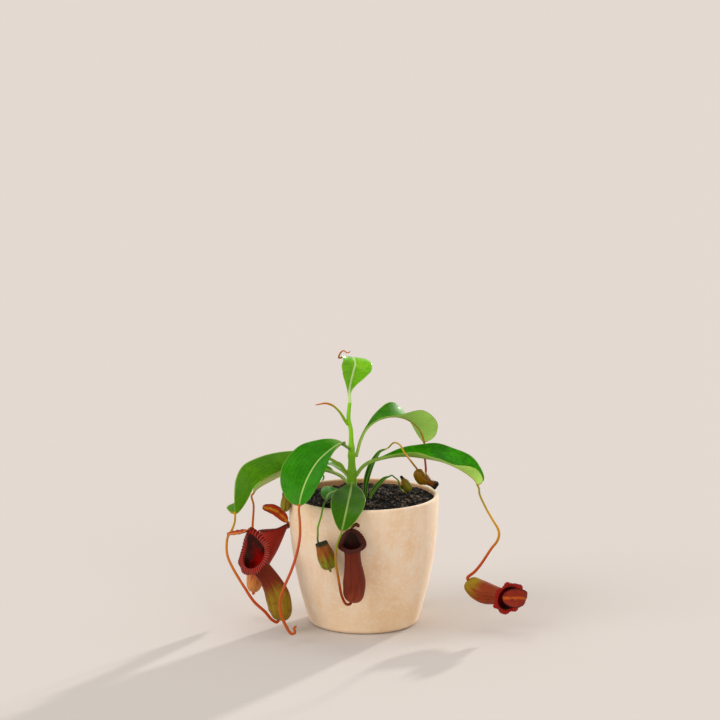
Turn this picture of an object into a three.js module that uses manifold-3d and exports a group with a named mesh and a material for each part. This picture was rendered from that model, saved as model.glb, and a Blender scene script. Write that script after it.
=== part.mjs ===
// A potted pitcher plant (Nepenthes): a plain clay pot filled with soil, a short stem, eleven leaves,
// and the tendrils, pitchers and lids that grow from the leaves' tips. Millimetres, +Z up.
// The origin is the middle of the pot's flat base. +X runs to the plant's right, seen from its front
// (the side that -Y faces), which is also the plant's longest extent.

import * as THREE from 'three';
import Module from 'manifold-3d';

const wasm = await Module();
wasm.setup();

// ---- Driving dimensions ---------------------------------------------------------------------

const POT_HEIGHT = 122;
const POT_RIM_RADIUS = 70;
const POT_LOWER_RADIUS = 51.8; // outside, where the wall leaves the rounded lower corner
const POT_CORNER = 5; // height of that rounded corner
const POT_FOOT_RADIUS = 46; // edge of the flat face that the pot stands on
const POT_BOW = 2.1; // how strongly the wall bows out between the corner and the rim
const POT_WALL = 4.4;
const POT_FLOOR = 6;
const POT_SIDES = 36;

const SOIL_EDGE_Z = 115.5; // where the soil meets the wall
const SOIL_MOUND = 4; // how far its middle stands above its edge
const SOIL_BUMP = 2.4; // height of its lumps
const SOIL_RINGS = 8;
const SOIL_LEVELS = [25, 50, 80, 105]; // heights of the sections between its bottom and its edge
const SOIL_SEED = 7;

const ROOT_DEPTH_Z = 100; // bottom of the holes that the stems stand in
const HOLE_SIDES = 10;
const STEM_SIDES = 10;
const CLEARANCE = 0.35; // air between two pieces that touch on the real plant

const LEAF_STEPS = 13; // sections along a leaf
const LEAF_LANES = 3; // lanes from a leaf's midrib to its margin
const LEAF_EDGE = 0.8; // thickness of a leaf at its margin
const LEAF_RIB = 1.5; // and at its midrib
const TENDRIL_SIDES = 6;
const TENDRIL_STEP = 6; // length of one step along a tendril
const TENDRIL_LEAD = 3; // how far a tendril runs straight on from its leaf
const TENDRIL_ENTRY = 2; // and how far it runs straight into its pitcher
const PITCHER_SIDES = 20;
const PITCHER_WALL = 0.9;
const POD_SIDES = 10;
const POD_STEP = 2.6;
const LID_LIFT = 1.5; // from the top of a pitcher's neck to the middle of its lid's stalk
const LOBE_PLACE = 0.972; // share of a leaf's length where its outcurled lobe is widest
const LOBE_SPREAD = 0.03;

const CLAY = { color: 0xe3c6a4, roughness: 0.85 };
const SOIL = { color: 0x1e130c, roughness: 1 };
const STEM_GREEN = { color: 0x5c9a1c, roughness: 0.45 };
const LEAF_GREEN = { color: 0x2a6a06, roughness: 0.3 };
const YOUNG_GREEN = { color: 0x74b41c, roughness: 0.28 };
const TENDRIL_RED = { color: 0xb5451c, roughness: 0.5 };
const TENDRIL_GOLD = { color: 0xb98a1e, roughness: 0.5 };
const TENDRIL_GREEN = { color: 0x6f8f22, roughness: 0.5 };
const PITCHER_RED = { color: 0x6e2418, roughness: 0.45 };
const PITCHER_OLIVE = { color: 0x7a7a1c, roughness: 0.5 };
const LID_RED = { color: 0x9c2c14, roughness: 0.45 };

// ---- Shared shapes --------------------------------------------------------------------------

const vector = (p) => new THREE.Vector3(...p);
const spline = (points) => new THREE.CatmullRomCurve3(points.map(vector), false, 'centripetal');
const degrees = (a) => (a * Math.PI) / 180;
const smooth = (low, high, x) => THREE.MathUtils.smoothstep(x, low, high);
const mix = THREE.MathUtils.lerp;

// A curve through a list of numbers: its value at share t of the list.
function profile(values) {
  const curve = new THREE.SplineCurve(values.map((v, i) => new THREE.Vector2(i, v)));
  return (t) => curve.getPoint(t).y;
}

// The girth of a pitcher's body: a profile of radii, closed at its base like the end of a ball.
function girth(radii) {
  const body = profile([radii[1], ...radii.slice(1)]);
  const cap = 1 / (radii.length - 1); // share of the length that the round end takes
  return (t) => mix(radii[0], body(t), Math.sqrt(1 - (1 - Math.min(1, t / cap)) ** 2));
}

// The direction at share t between two or more given directions.
function turning(directions, t) {
  const place = t * (directions.length - 1);
  const first = Math.min(Math.floor(place), directions.length - 2);
  return vector(directions[first]).lerp(vector(directions[first + 1]), place - first).normalize();
}

// Skins rings of points into one closed body. Each ring runs counter-clockwise about the way the
// rings travel, and its two ends are closed with fans. Lanes from mirrored on take the other
// diagonal, so that the two faces of a thin blade are split alike.
function skin(rings, mirrored = Infinity) {
  const count = rings[0].length;
  const points = rings.flat();
  const index = [];
  for (let ring = 0; ring < rings.length - 1; ring += 1) {
    for (let lane = 0; lane < count; lane += 1) {
      const a = ring * count + lane;
      const b = ring * count + ((lane + 1) % count);
      if (lane < mirrored) index.push(a, b, a + count, b, b + count, a + count);
      else index.push(a, b, b + count, a, b + count, a + count);
    }
  }
  for (const [ring, sign] of [[0, -1], [rings.length - 1, 1]]) {
    const middle = new THREE.Vector3();
    rings[ring].forEach((p) => middle.addScaledVector(p, 1 / count));
    points.push(middle);
    for (let lane = 0; lane < count; lane += 1) {
      const a = ring * count + lane;
      const b = ring * count + ((lane + 1) % count);
      index.push(points.length - 1, ...(sign > 0 ? [a, b] : [b, a]));
    }
  }
  const geometry = new THREE.BufferGeometry().setFromPoints(points);
  return geometry.setIndex(index);
}

// A round stalk along a curve, its radius a function of t, clear of its neighbours at the ends.
function stalk(curve, radius, { sides = TENDRIL_SIDES, step = TENDRIL_STEP, gaps = [0, 0] } = {}) {
  const length = curve.getLength();
  const steps = Math.max(3, Math.round(length / step));
  const frames = curve.computeFrenetFrames(steps);
  const rings = [];
  for (let i = 0; i <= steps; i += 1) {
    const t = mix(gaps[0] / length, 1 - gaps[1] / length, i / steps);
    const middle = curve.getPointAt(t);
    const ring = [];
    for (let j = 0; j < sides; j += 1) {
      const a = (2 * Math.PI * j) / sides;
      ring.push(middle.clone()
        .addScaledVector(frames.normals[i], radius(t) * Math.cos(a))
        .addScaledVector(frames.binormals[i], radius(t) * Math.sin(a)));
    }
    rings.push(ring);
  }
  return skin(rings);
}

// A leaf blade, or a lid: its midrib follows a route, its two halves stand at fold angles to the
// way its face looks, and its half-width grows from the stalk to the widest place and closes at the
// tip. Half-width: stalk + (half - stalk) * sin(pi * s^k)^roundness, with s from the stalk's end to
// the tip, k set so that the sine peaks at the widest place, and one roundness before that place and
// one past it. A lobe is how far the margin on the side of route x face stands out, close to the tip.
function blade({ route, face, half, stalkHalf = 2, stalkShare = 0.2, widest = 0.5, tipHalf = 0.9,
  roundness = [0.7, 0.7], fold = [[15, 15], [15, 15]], lobe = 0, steps = LEAF_STEPS, lanes = LEAF_LANES,
  stalkThick = 2.6 }) {
  const curve = spline(route);
  const rise = fold.map(profile);
  const skew = Math.log(0.5) / Math.log(widest);
  const rings = [];
  for (let i = 0; i <= steps; i += 1) {
    const t = Math.sin((Math.PI / 2) * (i / steps));
    const s = THREE.MathUtils.clamp((t - stalkShare) / (1 - stalkShare), 0, 1);
    const swell = Math.max(0, Math.sin(Math.PI * s ** skew)) ** roundness[s < widest ? 0 : 1];
    const bulge = lobe * Math.exp(-(((t - LOBE_PLACE) / LOBE_SPREAD) ** 2));
    const width = mix(stalkHalf, tipHalf, s) + (half - stalkHalf) * swell;
    const along = curve.getTangentAt(t);
    const side = along.clone().cross(turning(face, t)).normalize();
    const up = side.clone().cross(along);
    const rib = mix(stalkThick, LEAF_RIB, smooth(0, 0.25, s));
    const upper = [];
    const lower = [];
    for (let lane = -lanes; lane <= lanes; lane += 1) {
      const share = Math.abs(lane) / lanes;
      const angle = degrees(rise[lane > 0 ? 0 : 1](t));
      const thick = mix(rib, LEAF_EDGE, share ** 0.7);
      const out = lane > 0 ? share ** 2 * bulge : 0;
      const place = curve.getPointAt(t)
        .addScaledVector(side, Math.sign(lane) * share * width * Math.cos(angle) + out)
        .addScaledVector(up, share * width * Math.sin(angle));
      upper.push(place.clone().addScaledVector(up, thick / 2));
      lower.unshift(place.addScaledVector(up, -thick / 2));
    }
    rings.push([...upper, ...lower]);
  }
  return skin(rings, 2 * lanes + 1);
}

// An open pitcher: a hollow body along a route, its girth a profile, cut at a slanted mouth that
// rises to a neck at its back, with a flared, ribbed collar round the mouth and two thin wings
// down its front. The wall runs up the outside, over the collar and down the inside. The larger
// crest is, the narrower is the neck.
function pitcher({ route, radii, back, tilt, neck, crest = 5, flare, droop = 1, rise = 1, wings = 1.4,
  wall = PITCHER_WALL, depth = 0.2, sides = PITCHER_SIDES }) {
  const curve = spline(route);
  const body = girth(radii);
  const collarRib = 0.35;
  const ring = (t, shift, lift, share, { wing = 0, rib = 0 } = {}) => {
    const along = curve.getTangentAt(t);
    const rear = vector(back);
    rear.addScaledVector(along, -rear.dot(along)).normalize();
    const side = along.clone().cross(rear);
    const points = [];
    for (let j = 0; j < sides; j += 1) {
      const a = (2 * Math.PI * j) / sides;
      const front = Math.abs(j - sides / 2) === 1 ? wing : 0;
      const radius = body(t) + shift + front + (j % 2 ? -rib : rib);
      const slant = smooth(0.4, 1, t) * tilt * radius * Math.cos(a);
      const crown = smooth(0.7, 1, t) * share * neck * Math.max(0, Math.cos(a)) ** crest;
      points.push(curve.getPointAt(t)
        .addScaledVector(rear, radius * Math.cos(a))
        .addScaledVector(side, radius * Math.sin(a))
        .addScaledVector(along, lift + slant + crown));
    }
    return points;
  };
  const wingAt = (t) => wings * smooth(0.08, 0.25, t) * (1 - smooth(0.75, 0.92, t));
  const outside = [0, 0.035, 0.1, 0.2, 0.32, 0.46, 0.6, 0.74, 0.86, 0.94];
  const inside = [0.93, 0.8, 0.65, 0.5, 0.34].filter((t) => t > depth);
  return skin([
    ...outside.map((t) => ring(t, 0, 0, 1, { wing: wingAt(t) })),
    ring(1, flare * 0.55, -droop * 0.3 - 0.7, rise, { rib: collarRib }),
    ring(1, flare, -droop, rise, { rib: collarRib }),
    ring(1, flare * 0.55, -droop * 0.3 + 0.5, (1 + rise) / 2, { rib: collarRib }),
    ring(1, -0.3, 0.4, 1),
    ...[...inside, depth].map((t) => ring(t, -wall, 0, 1)),
  ]);
}

// Where a lid leaves its pitcher: just above the top of the neck.
function neckTop({ route, radii, back, tilt, neck }) {
  const curve = spline(route);
  const along = curve.getTangentAt(1);
  const rear = vector(back);
  rear.addScaledVector(along, -rear.dot(along)).normalize();
  const radius = radii.at(-1);
  return curve.getPointAt(1)
    .addScaledVector(rear, radius)
    .addScaledVector(along, tilt * radius + neck + LID_LIFT)
    .toArray();
}

// A small closed or dried pitcher: a round body along a route whose girth is a profile.
const pod = ({ route, radii }) => stalk(spline(route), girth(radii), { sides: POD_SIDES, step: POD_STEP });

// A lid: a short, broad blade from the neck of its pitcher.
const lid = ({ via, face, half, stalkShare = 0.05 }, body) => blade({
  route: [neckTop(body), ...via], face, half, stalkHalf: 1.4, stalkShare, widest: 0.5,
  roundness: [0.45, 0.45], fold: [[12, 12], [12, 12]], stalkThick: 1.6, steps: 7, lanes: 2,
});

// ---- Pot and soil ---------------------------------------------------------------------------

// Outside radius of the pot at height z: 70 - 18.2 * (share of the wall still above z)^bow.
function potRadius(z) {
  const above = THREE.MathUtils.clamp((POT_HEIGHT - z) / (POT_HEIGHT - POT_CORNER), 0, 1);
  return POT_RIM_RADIUS - (POT_RIM_RADIUS - POT_LOWER_RADIUS) * above ** POT_BOW;
}

// The pot: a lathe profile from the middle of its foot, up the bowed wall, over the rounded rim and
// down the inside to the middle of its floor.
function pot() {
  const outline = [[0, 0], [POT_FOOT_RADIUS, 0]];
  for (let i = 1; i <= 3; i += 1) {
    const a = ((Math.PI / 2) * i) / 3;
    outline.push([mix(POT_FOOT_RADIUS, POT_LOWER_RADIUS, Math.sin(a)), POT_CORNER * (1 - Math.cos(a))]);
  }
  const wallSteps = 8;
  const lip = POT_WALL / 2;
  const top = POT_HEIGHT - lip;
  for (let i = 1; i <= wallSteps; i += 1) {
    const z = mix(POT_CORNER, top, i / wallSteps);
    outline.push([potRadius(z), z]);
  }
  for (let i = 1; i < 4; i += 1) {
    const a = (Math.PI * i) / 4;
    outline.push([potRadius(top) - lip + lip * Math.cos(a), top + lip * Math.sin(a)]);
  }
  for (let i = wallSteps; i >= 0; i -= 1) {
    const z = mix(POT_FLOOR, top, i / wallSteps);
    outline.push([potRadius(z) - POT_WALL, z]);
  }
  outline.push([0, POT_FLOOR]);
  const geometry = new THREE.LatheGeometry(outline.map((p) => new THREE.Vector2(...p)), POT_SIDES);
  return geometry.rotateX(Math.PI / 2);
}

// A repeatable draw between 0 and 1 from two whole numbers.
function draw(i, j) {
  const value = Math.sin(i * 127.1 + j * 311.7 + SOIL_SEED) * 43758.5453;
  return value - Math.floor(value);
}

// The soil: a body that fills the pot, its top raised into lumps by a seeded draw, less the holes
// that the stems stand in.
function soil(holes) {
  const circle = (radius, height) => {
    const ring = [];
    for (let j = 0; j < POT_SIDES; j += 1) {
      const a = (2 * Math.PI * j) / POT_SIDES;
      ring.push(new THREE.Vector3(radius * Math.cos(a), radius * Math.sin(a), height(j)));
    }
    return ring;
  };
  const fit = (z) => potRadius(z) - POT_WALL - 2 * CLEARANCE;
  const rings = [POT_FLOOR + CLEARANCE, ...SOIL_LEVELS].map((z) => circle(fit(z), () => z));
  for (let i = 0; i < SOIL_RINGS; i += 1) {
    const share = 1 - i / SOIL_RINGS;
    const height = (j) => SOIL_EDGE_Z + SOIL_MOUND * (1 - share ** 2) + SOIL_BUMP * draw(i, j);
    rings.push(circle(fit(SOIL_EDGE_Z) * share, height));
  }
  const solid = (geometry) => new wasm.Manifold(new wasm.Mesh({
    numProp: 3,
    vertProperties: new Float32Array(geometry.attributes.position.array),
    triVerts: new Uint32Array(geometry.index.array),
  }));
  let body = solid(skin(rings));
  for (const { x, y, radius } of holes) {
    const post = [ROOT_DEPTH_Z, POT_HEIGHT + SOIL_BUMP].map((z) => {
      const ring = [];
      for (let j = 0; j < HOLE_SIDES; j += 1) {
        const a = (2 * Math.PI * j) / HOLE_SIDES;
        ring.push(new THREE.Vector3(x + radius * Math.cos(a), y + radius * Math.sin(a), z));
      }
      return ring;
    });
    body = body.subtract(solid(skin(post)));
  }
  const cut = body.getMesh();
  const geometry = new THREE.BufferGeometry();
  geometry.setAttribute('position', new THREE.BufferAttribute(cut.vertProperties, 3));
  return geometry.setIndex(new THREE.BufferAttribute(cut.triVerts, 1));
}

// ---- Stem -----------------------------------------------------------------------------------

const STEM_ROUTE = [[-11, 0, 100.4], [-11, 0, 124], [-11, 0, 149], [-11.5, 0, 168], [-12, 0, 183],
  [-14, 0, 193], [-13, 0, 209]];
const STEM_RADII = [3.6, 4.2, 4, 3.2, 2.2, 2, 1.7];

const HOLES = [
  { x: -11, y: 0, radius: 5 },
  { x: 2.5, y: -4.5, radius: 2.9 },
  { x: 6.5, y: -10, radius: 2.9 },
];

// ---- Limbs ----------------------------------------------------------------------------------
// A limb is a leaf with what grows on its tip: a tendril, and on most a pitcher with its lid.
// Routes run outwards from the stem. A leaf's face looks the way that its directions say, from its
// base to its tip. fold is the rise of its two halves, in degrees: first the half on the side of
// route x face. A pitcher's back is the side of its neck and lid.

const LIMBS = {
  top: {
    leaf: {
      route: [[-13, 0, 209.4], [-13.5, 0, 218], [-12, -2, 228], [-9.5, -4, 239], [-8, -3.5, 246],
        [-9.5, 0.5, 250.5], [-15, 5, 251], [-20, 6, 250]],
      face: [[0, -1, 0.1], [0, -1, 0.3], [0.3, -0.6, 0.8], [0.4, 0.3, 1]],
      half: 17.5, stalkHalf: 1.6, stalkShare: 0.1, widest: 0.66, fold: [[8, 5, -15], [30, 46, 30, -20]],
      roundness: [1, 0.7], stalkThick: 2.4,
    },
    tendril: {
      via: [[-21.5, 0, 255.5], [-18.5, -4, 258.5], [-15, -5, 256.5], [-12, -6, 258.5]],
      radii: [0.9, 0.8, 0.5],
    },
    finish: [YOUNG_GREEN, TENDRIL_RED],
  },
  front_left: {
    leaf: {
      route: [[-13.7, -3, 166], [-21, -13, 172], [-31, -26, 169], [-43, -40, 160], [-52, -54, 147],
        [-57, -64, 134], [-58.5, -68, 126]],
      face: [[0.3, -0.9, 1], [-0.1, -0.8, 0.8], [-0.4, -1, 0.45]],
      half: 28.5, stalkShare: 0.1, widest: 0.58, fold: [[0, 0], [60, 60, 45, 30]], roundness: [0.7, 0.55],
    },
    tendril: {
      via: [[-58, -72, 112], [-58, -75, 99], [-61, -77, 83], [-66, -79, 68], [-72, -80, 54], [-76, -80, 41],
        [-75.5, -80, 29], [-71, -80, 17], [-66, -80, 9.5], [-62.5, -80, 10.5], [-63.5, -80, 14.5],
        [-61, -80, 17]],
      radii: [1.1, 1.3, 1.4, 1.4, 1.5, 1.6, 1.2],
    },
    finish: [LEAF_GREEN, TENDRIL_RED],
  },
  left: {
    leaf: {
      route: [[-15.8, 0, 143], [-22, 2, 149], [-30, 4, 154], [-46, 5, 160], [-63, 4, 162], [-82, 0, 161],
        [-98, -5, 157.5], [-112, -11, 151], [-118, -17, 140], [-119.5, -22, 125], [-119, -24, 108]],
      face: [[0, -0.2, 1], [0, -0.3, 1], [-1, -0.9, 0.2]],
      half: 25, stalkShare: 0.2, widest: 0.56, fold: [[-40, -60, -70, -70, -60], [-22, -22, -22]], lobe: 15,
    },
    tendril: {
      via: [[-119.5, -23, 100], [-122, -22, 93], [-126, -22, 86], [-127, -24, 79], [-126, -30, 70],
        [-121, -36, 60], [-111, -43, 45], [-101, -48, 31], [-91, -50, 22], [-84.5, -50, 14.3]],
      radii: [1, 1.2, 1.3, 1.4, 1.5, 1.5],
    },
    pitcher: {
      route: [[-79, -47.8, 13.4], [-77, -45.6, 21], [-79.8, -41.2, 35.5], [-87.5, -38.5, 50.5],
        [-95.5, -38, 61.5], [-101.3, -40, 73]],
      radii: [1.5, 11, 11.4, 9.8, 8.6, 9, 12.4],
      back: [0.38, 1, 0.2], tilt: 0.6, neck: 11.5, flare: 5.5, droop: 0.6, rise: 0.9,
    },
    lid: {
      via: [[-109.5, -32, 93.5], [-117, -34, 92], [-126, -36, 91.5]],
      face: [[0, -0.08, 1], [0, -0.08, 1]], half: 6.5,
    },
    finish: [LEAF_GREEN, TENDRIL_GOLD, PITCHER_RED, LID_RED],
  },
  left_back: {
    leaf: {
      route: [[-14.8, 3.4, 131.5], [-19, 8, 135], [-25, 13, 138], [-37, 20, 140], [-55, 26, 138],
        [-74, 30, 134], [-90, 32, 126], [-101, 32, 119], [-104, 32, 115]],
      face: [[0, 0.1, 1], [0, 0, 1], [-0.8, 0, 1]],
      half: 20, stalkShare: 0.2, widest: 0.55, fold: [[22, 24], [22, 24]],
    },
    tendril: {
      via: [[-104, 32, 104], [-105, 31, 82], [-104.5, 30, 58], [-103, 28.5, 38], [-103.5, 23, 23]],
      radii: [1, 1.2, 1.4, 1.5],
    },
    pitcher: {
      route: [[-104, 17, 23.5], [-103, 16, 32], [-98.2, 13.5, 48], [-90.2, 11.5, 67.5], [-84.3, 11, 85.3]],
      radii: [1.5, 7.8, 8.4, 8, 9.4, 10.8, 11.8],
      back: [0.85, -0.5, 0], tilt: 0.5, neck: 4.5, crest: 4, flare: 2.2, droop: 0.8,
    },
    lid: {
      via: [[-77.5, 5, 100.5], [-84, 4, 105.5], [-94.5, 3, 108.5]],
      face: [[0.3, -1, 0.5], [0.3, -1, 0.6]], half: 5.5,
    },
    finish: [LEAF_GREEN, TENDRIL_RED, PITCHER_RED, LID_RED],
  },
  back_left: {
    leaf: {
      route: [[-13.7, 4.2, 136], [-21, 18, 141], [-31, 33, 143], [-39, 48, 140], [-42, 59, 133]],
      face: [[0, 0, 1], [0, 0.6, 1]], half: 11, stalkShare: 0.2, widest: 0.55,
    },
    tendril: {
      via: [[-41, 68, 127], [-38, 73, 121], [-46, 70, 112], [-60, 57, 106], [-69, 41, 110], [-72.4, 26, 114],
        [-73, 12, 116], [-72.6, -3, 115.5]],
      radii: [0.8, 0.9, 0.9, 0.9],
    },
    pitcher: {
      pod: true, route: [[-72, -14.5, 112.5], [-72.4, -20.5, 114], [-72, -22.8, 118.5], [-71.6, -22.8, 125.5],
        [-71.2, -22.8, 132]],
      radii: [1, 4, 4.4, 4.2, 3.4, 3.6, 2.2],
    },
    finish: [LEAF_GREEN, TENDRIL_GREEN, PITCHER_OLIVE],
  },
  front: {
    leaf: {
      route: [[-11.2, -4.9, 133], [-11, -14, 135], [-12, -40, 133], [-14, -62, 129], [-16, -76, 122.5],
        [-18, -84, 115], [-20, -87.5, 107]],
      face: [[0, -0.1, 1], [0.1, -0.4, 1], [0, -1, 0.5]],
      half: 16.5, stalkShare: 0.12, widest: 0.62, fold: [[10, 10], [10, 10]],
    },
    tendril: {
      via: [[-23.6, -90, 97], [-25.3, -90.4, 88], [-25.5, -89.9, 80], [-23.8, -90.5, 69], [-21.8, -90.5, 57],
        [-20, -90.5, 48], [-16, -88, 39.5]],
      radii: [1, 1.1, 1.2, 1.3, 1.4],
    },
    pitcher: {
      route: [[-11.5, -83.3, 40.5], [-9.2, -84, 49], [-8.6, -84, 61], [-9.8, -84.3, 78],
        [-10.6, -84.6, 94.5]],
      radii: [1.5, 9.8, 10.4, 9.2, 7.8, 7.4, 9],
      back: [0, 1, 0], tilt: 0.35, neck: 7.7, crest: 2, flare: 4.2, droop: 0.4, rise: 0.9, wings: 1,
    },
    lid: {
      via: [[-9.2, -77, 109.3], [-6.5, -78.5, 111], [-4.3, -80, 109.3]],
      face: [[-1, -0.4, 1], [0.5, -1, 1]], half: 2.6,
    },
    finish: [LEAF_GREEN, TENDRIL_GOLD, PITCHER_RED, LID_RED],
  },
  small_left: {
    leaf: {
      route: [[-14.7, -3.3, 124.5], [-21, -10, 127], [-28, -19, 128.5], [-33, -31, 128], [-34.5, -42, 125.5]],
      face: [[0, 0, 1], [0.2, -0.4, 1], [0, -1, 0.8]], half: 9, stalkShare: 0.25, widest: 0.5,
    },
    tendril: {
      via: [[-35, -53, 127], [-37, -63, 124], [-39, -70, 116], [-41.5, -74, 108], [-41.8, -74.5, 101],
        [-42, -70.5, 95.5], [-41, -65.5, 89], [-38.5, -63, 80], [-34, -63.5, 71], [-31, -68, 66]],
      radii: [0.8, 0.9, 1, 1],
    },
    pitcher: {
      pod: true, route: [[-30.6, -74, 68.6], [-32.5, -74, 75], [-35.5, -74, 84], [-38.5, -74, 93.5]],
      radii: [1, 7.4, 8, 7.5, 6.6, 5.4],
    },
    finish: [LEAF_GREEN, TENDRIL_GREEN, PITCHER_OLIVE],
  },
  right_upper: {
    leaf: {
      route: [[-6.6, 1.5, 159], [-3, 5, 172], [3, 9, 182], [13, 14, 189], [26, 19, 191.5], [38, 24, 189],
        [49, 29, 181], [55, 34, 171], [57, 37, 163]],
      face: [[-0.8, 0, 0.6], [0, 0, 1], [0.5, 0.7, 0.5]],
      half: 24.5, stalkShare: 0.12, widest: 0.62, fold: [[28, 24, 15, 25, 32], [16, 20, 32, 30, 26]],
      roundness: [1.8, 0.55],
    },
    tendril: {
      via: [[58, 43, 147], [59, 47, 133], [57, 49, 114], [53, 54, 89], [48, 56, 62], [44.5, 58, 42],
        [40, 61.5, 34.5]],
      radii: [1, 1.2, 1.3, 1.5],
    },
    pitcher: {
      route: [[36, 66, 38], [35, 69, 48], [36, 73, 62], [39, 77, 76], [42, 80, 90]],
      radii: [1.5, 7.6, 8.2, 8, 8, 9.4, 10.6],
      back: [0, -1, 0], tilt: 0.5, neck: 7, flare: 2.6, droop: 0.8,
    },
    lid: {
      via: [[42.5, 72, 108], [42.5, 78, 109.5], [42.5, 88, 108]],
      face: [[0, 0, 1], [0, 0.4, 1]], half: 7.5,
    },
    finish: [LEAF_GREEN, TENDRIL_RED, PITCHER_RED, LID_RED],
  },
  right: {
    leaf: {
      route: [[-6, 1, 140.5], [-2, 2, 146], [5, 4, 151], [15, 6, 154], [28, 8, 156], [43, 9, 156],
        [58, 9, 154], [73, 8, 151], [88, 6, 145], [98, 4, 139], [104.2, 2.6, 133.5], [106.3, 2, 129.3]],
      face: [[-0.5, 0, 1], [0, 0, 1], [0, 0, 1]],
      half: 24, stalkShare: 0.22, widest: 0.6, fold: [[28, 30, 24, 17, 60], [40, 37, 32, 31, 40]],
      roundness: [0.9, 0.42],
    },
    tendril: {
      via: [[108, 0, 122], [114, -3, 109], [120, -7, 99], [125, -11, 91], [126, -13, 86], [124, -15, 80],
        [119, -17, 74], [108.5, -21, 59], [103, -22.5, 52.8]],
      radii: [1, 1.1, 1.3, 1.4, 1.6],
    },
    pitcher: {
      route: [[97.5, -24, 45.5], [102.5, -24.5, 39.5], [111.5, -27.5, 34.5], [122.5, -33, 32.8],
        [134.5, -41.5, 32.5]],
      radii: [1.8, 9, 10.2, 10, 8.6, 8.2, 12],
      back: [0.8, 0.6, 0.1], tilt: 0.45, neck: 3.5, flare: 4.4, droop: 0.6, rise: 0.6,
    },
    lid: {
      via: [[149.5, -48, 34.5], [143, -54.5, 36.3], [127.5, -56.5, 37]],
      face: [[0.2, -1, 0], [-0.2, -1, 0.1]], half: 9.4, stalkShare: 0.3,
    },
    finish: [LEAF_GREEN, TENDRIL_GOLD, PITCHER_OLIVE, LID_RED],
  },
  basal_right: {
    leaf: {
      route: [[2.5, -4.5, 100.4], [2.5, -4.5, 121], [2.4, -3.5, 130], [4, -1, 138], [7.5, 7, 146.8],
        [11.2, 15, 152.5], [15.3, 20, 157.3], [20.5, 23, 159.5]],
      face: [[-0.5, -1, 0.2], [-0.4, -1, 0.3], [-0.4, -0.8, 0.7]],
      half: 4.2, stalkHalf: 1.7, stalkShare: 0.3, widest: 0.5, fold: [[35, 35], [10, 10]],
    },
    tendril: {
      via: [[28, 12, 168], [34, -5, 169], [38, -16, 164], [43, -18.5, 158], [47, -15, 152]],
      radii: [0.8, 0.9, 1],
    },
    pitcher: {
      pod: true, route: [[50, -5, 145.5], [53, -3, 139], [60, 0, 134], [68, 3, 129]],
      radii: [1, 5.6, 6.4, 4, 3.4, 3.8],
    },
    finish: [LEAF_GREEN, TENDRIL_GOLD, PITCHER_OLIVE],
  },
  small_right: {
    leaf: {
      route: [[6.5, -10, 100.4], [6.5, -10, 121], [10, -7, 127.1], [14.7, -3, 132], [19.3, 1, 135.9],
        [23.6, 3, 137.6]],
      face: [[-0.5, -1, 0.3], [-0.5, -1, 0.5], [-0.3, -0.9, 0.8]],
      half: 3.4, stalkHalf: 1.6, stalkShare: 0.45, widest: 0.5, fold: [[30, 30], [5, 5]],
    },
    tendril: {
      via: [[29, 7, 136], [32.5, 9, 132.5], [33.5, 9.5, 128], [35.5, 9.5, 123.5]],
      radii: [0.8, 0.8, 0.9],
    },
    pitcher: {
      pod: true, route: [[40, 9, 122.5], [41, 9, 126], [38, 9, 132], [34.5, 9, 137]],
      radii: [1, 4.4, 4, 2.2, 1.2],
    },
    finish: [LEAF_GREEN, TENDRIL_GREEN, PITCHER_OLIVE],
  },
};

// The rolled tip of the next leaf, which leaves the stem below the top leaf.
const YOUNG_TIP = {
  route: [[-17.1, -1.4, 191.6], [-22, -5, 200.5], [-28, -8, 207], [-35, -11, 210], [-41, -13, 209.5],
    [-45, -14, 209]],
  radii: [1.3, 1.1, 0.9, 0.5],
};

// A tendril goes on in the leaf's own direction and comes up into the pitcher in the pitcher's.
function tendril({ via, radii }, leaf, body) {
  const tip = spline(leaf.route);
  const lead = tip.getPointAt(1).addScaledVector(tip.getTangentAt(1), TENDRIL_LEAD);
  const points = [tip.getPointAt(1), lead, ...via.map(vector)];
  if (body) {
    const base = spline(body.route);
    points.push(base.getPointAt(0).addScaledVector(base.getTangentAt(0), -TENDRIL_ENTRY), base.getPointAt(0));
  }
  const curve = new THREE.CatmullRomCurve3(points, false, 'centripetal');
  return stalk(curve, profile(radii), { gaps: [CLEARANCE, body ? CLEARANCE : 0] });
}

// ---- Assembly -------------------------------------------------------------------------------

const group = new THREE.Group();

function add(name, geometry, finish) {
  const mesh = new THREE.Mesh(geometry, new THREE.MeshStandardMaterial({ ...finish, metalness: 0 }));
  mesh.name = name;
  group.add(mesh);
}

add('pot', pot(), CLAY);
add('soil', soil(HOLES), SOIL);
add('stem', stalk(spline(STEM_ROUTE), profile(STEM_RADII), { sides: STEM_SIDES }), STEM_GREEN);
add('tendril_young', stalk(spline(YOUNG_TIP.route), profile(YOUNG_TIP.radii)), TENDRIL_GREEN);

for (const [name, limb] of Object.entries(LIMBS)) {
  const [leafFinish, tendrilFinish, pitcherFinish, lidFinish] = limb.finish;
  add(`leaf_${name}`, blade(limb.leaf), leafFinish);
  add(`tendril_${name}`, tendril(limb.tendril, limb.leaf, limb.pitcher), tendrilFinish);
  if (limb.pitcher) {
    add(`pitcher_${name}`, limb.pitcher.pod ? pod(limb.pitcher) : pitcher(limb.pitcher), pitcherFinish);
  }
  if (limb.lid) add(`lid_${name}`, lid(limb.lid, limb.pitcher), lidFinish);
}

export default group;
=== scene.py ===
# %% [markdown]
# # A potted pitcher plant
#
# This notebook dresses a small tropical pitcher plant in a clay pot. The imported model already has
# every piece at its real size and place, as plain solids. Here each one gets a finer surface,
# worked out with numpy, and a finish made of shader nodes. Blender's unit is the metre, and +Z is
# up. The plant's front looks along -Y, and its routes are written in millimetres.

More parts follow.
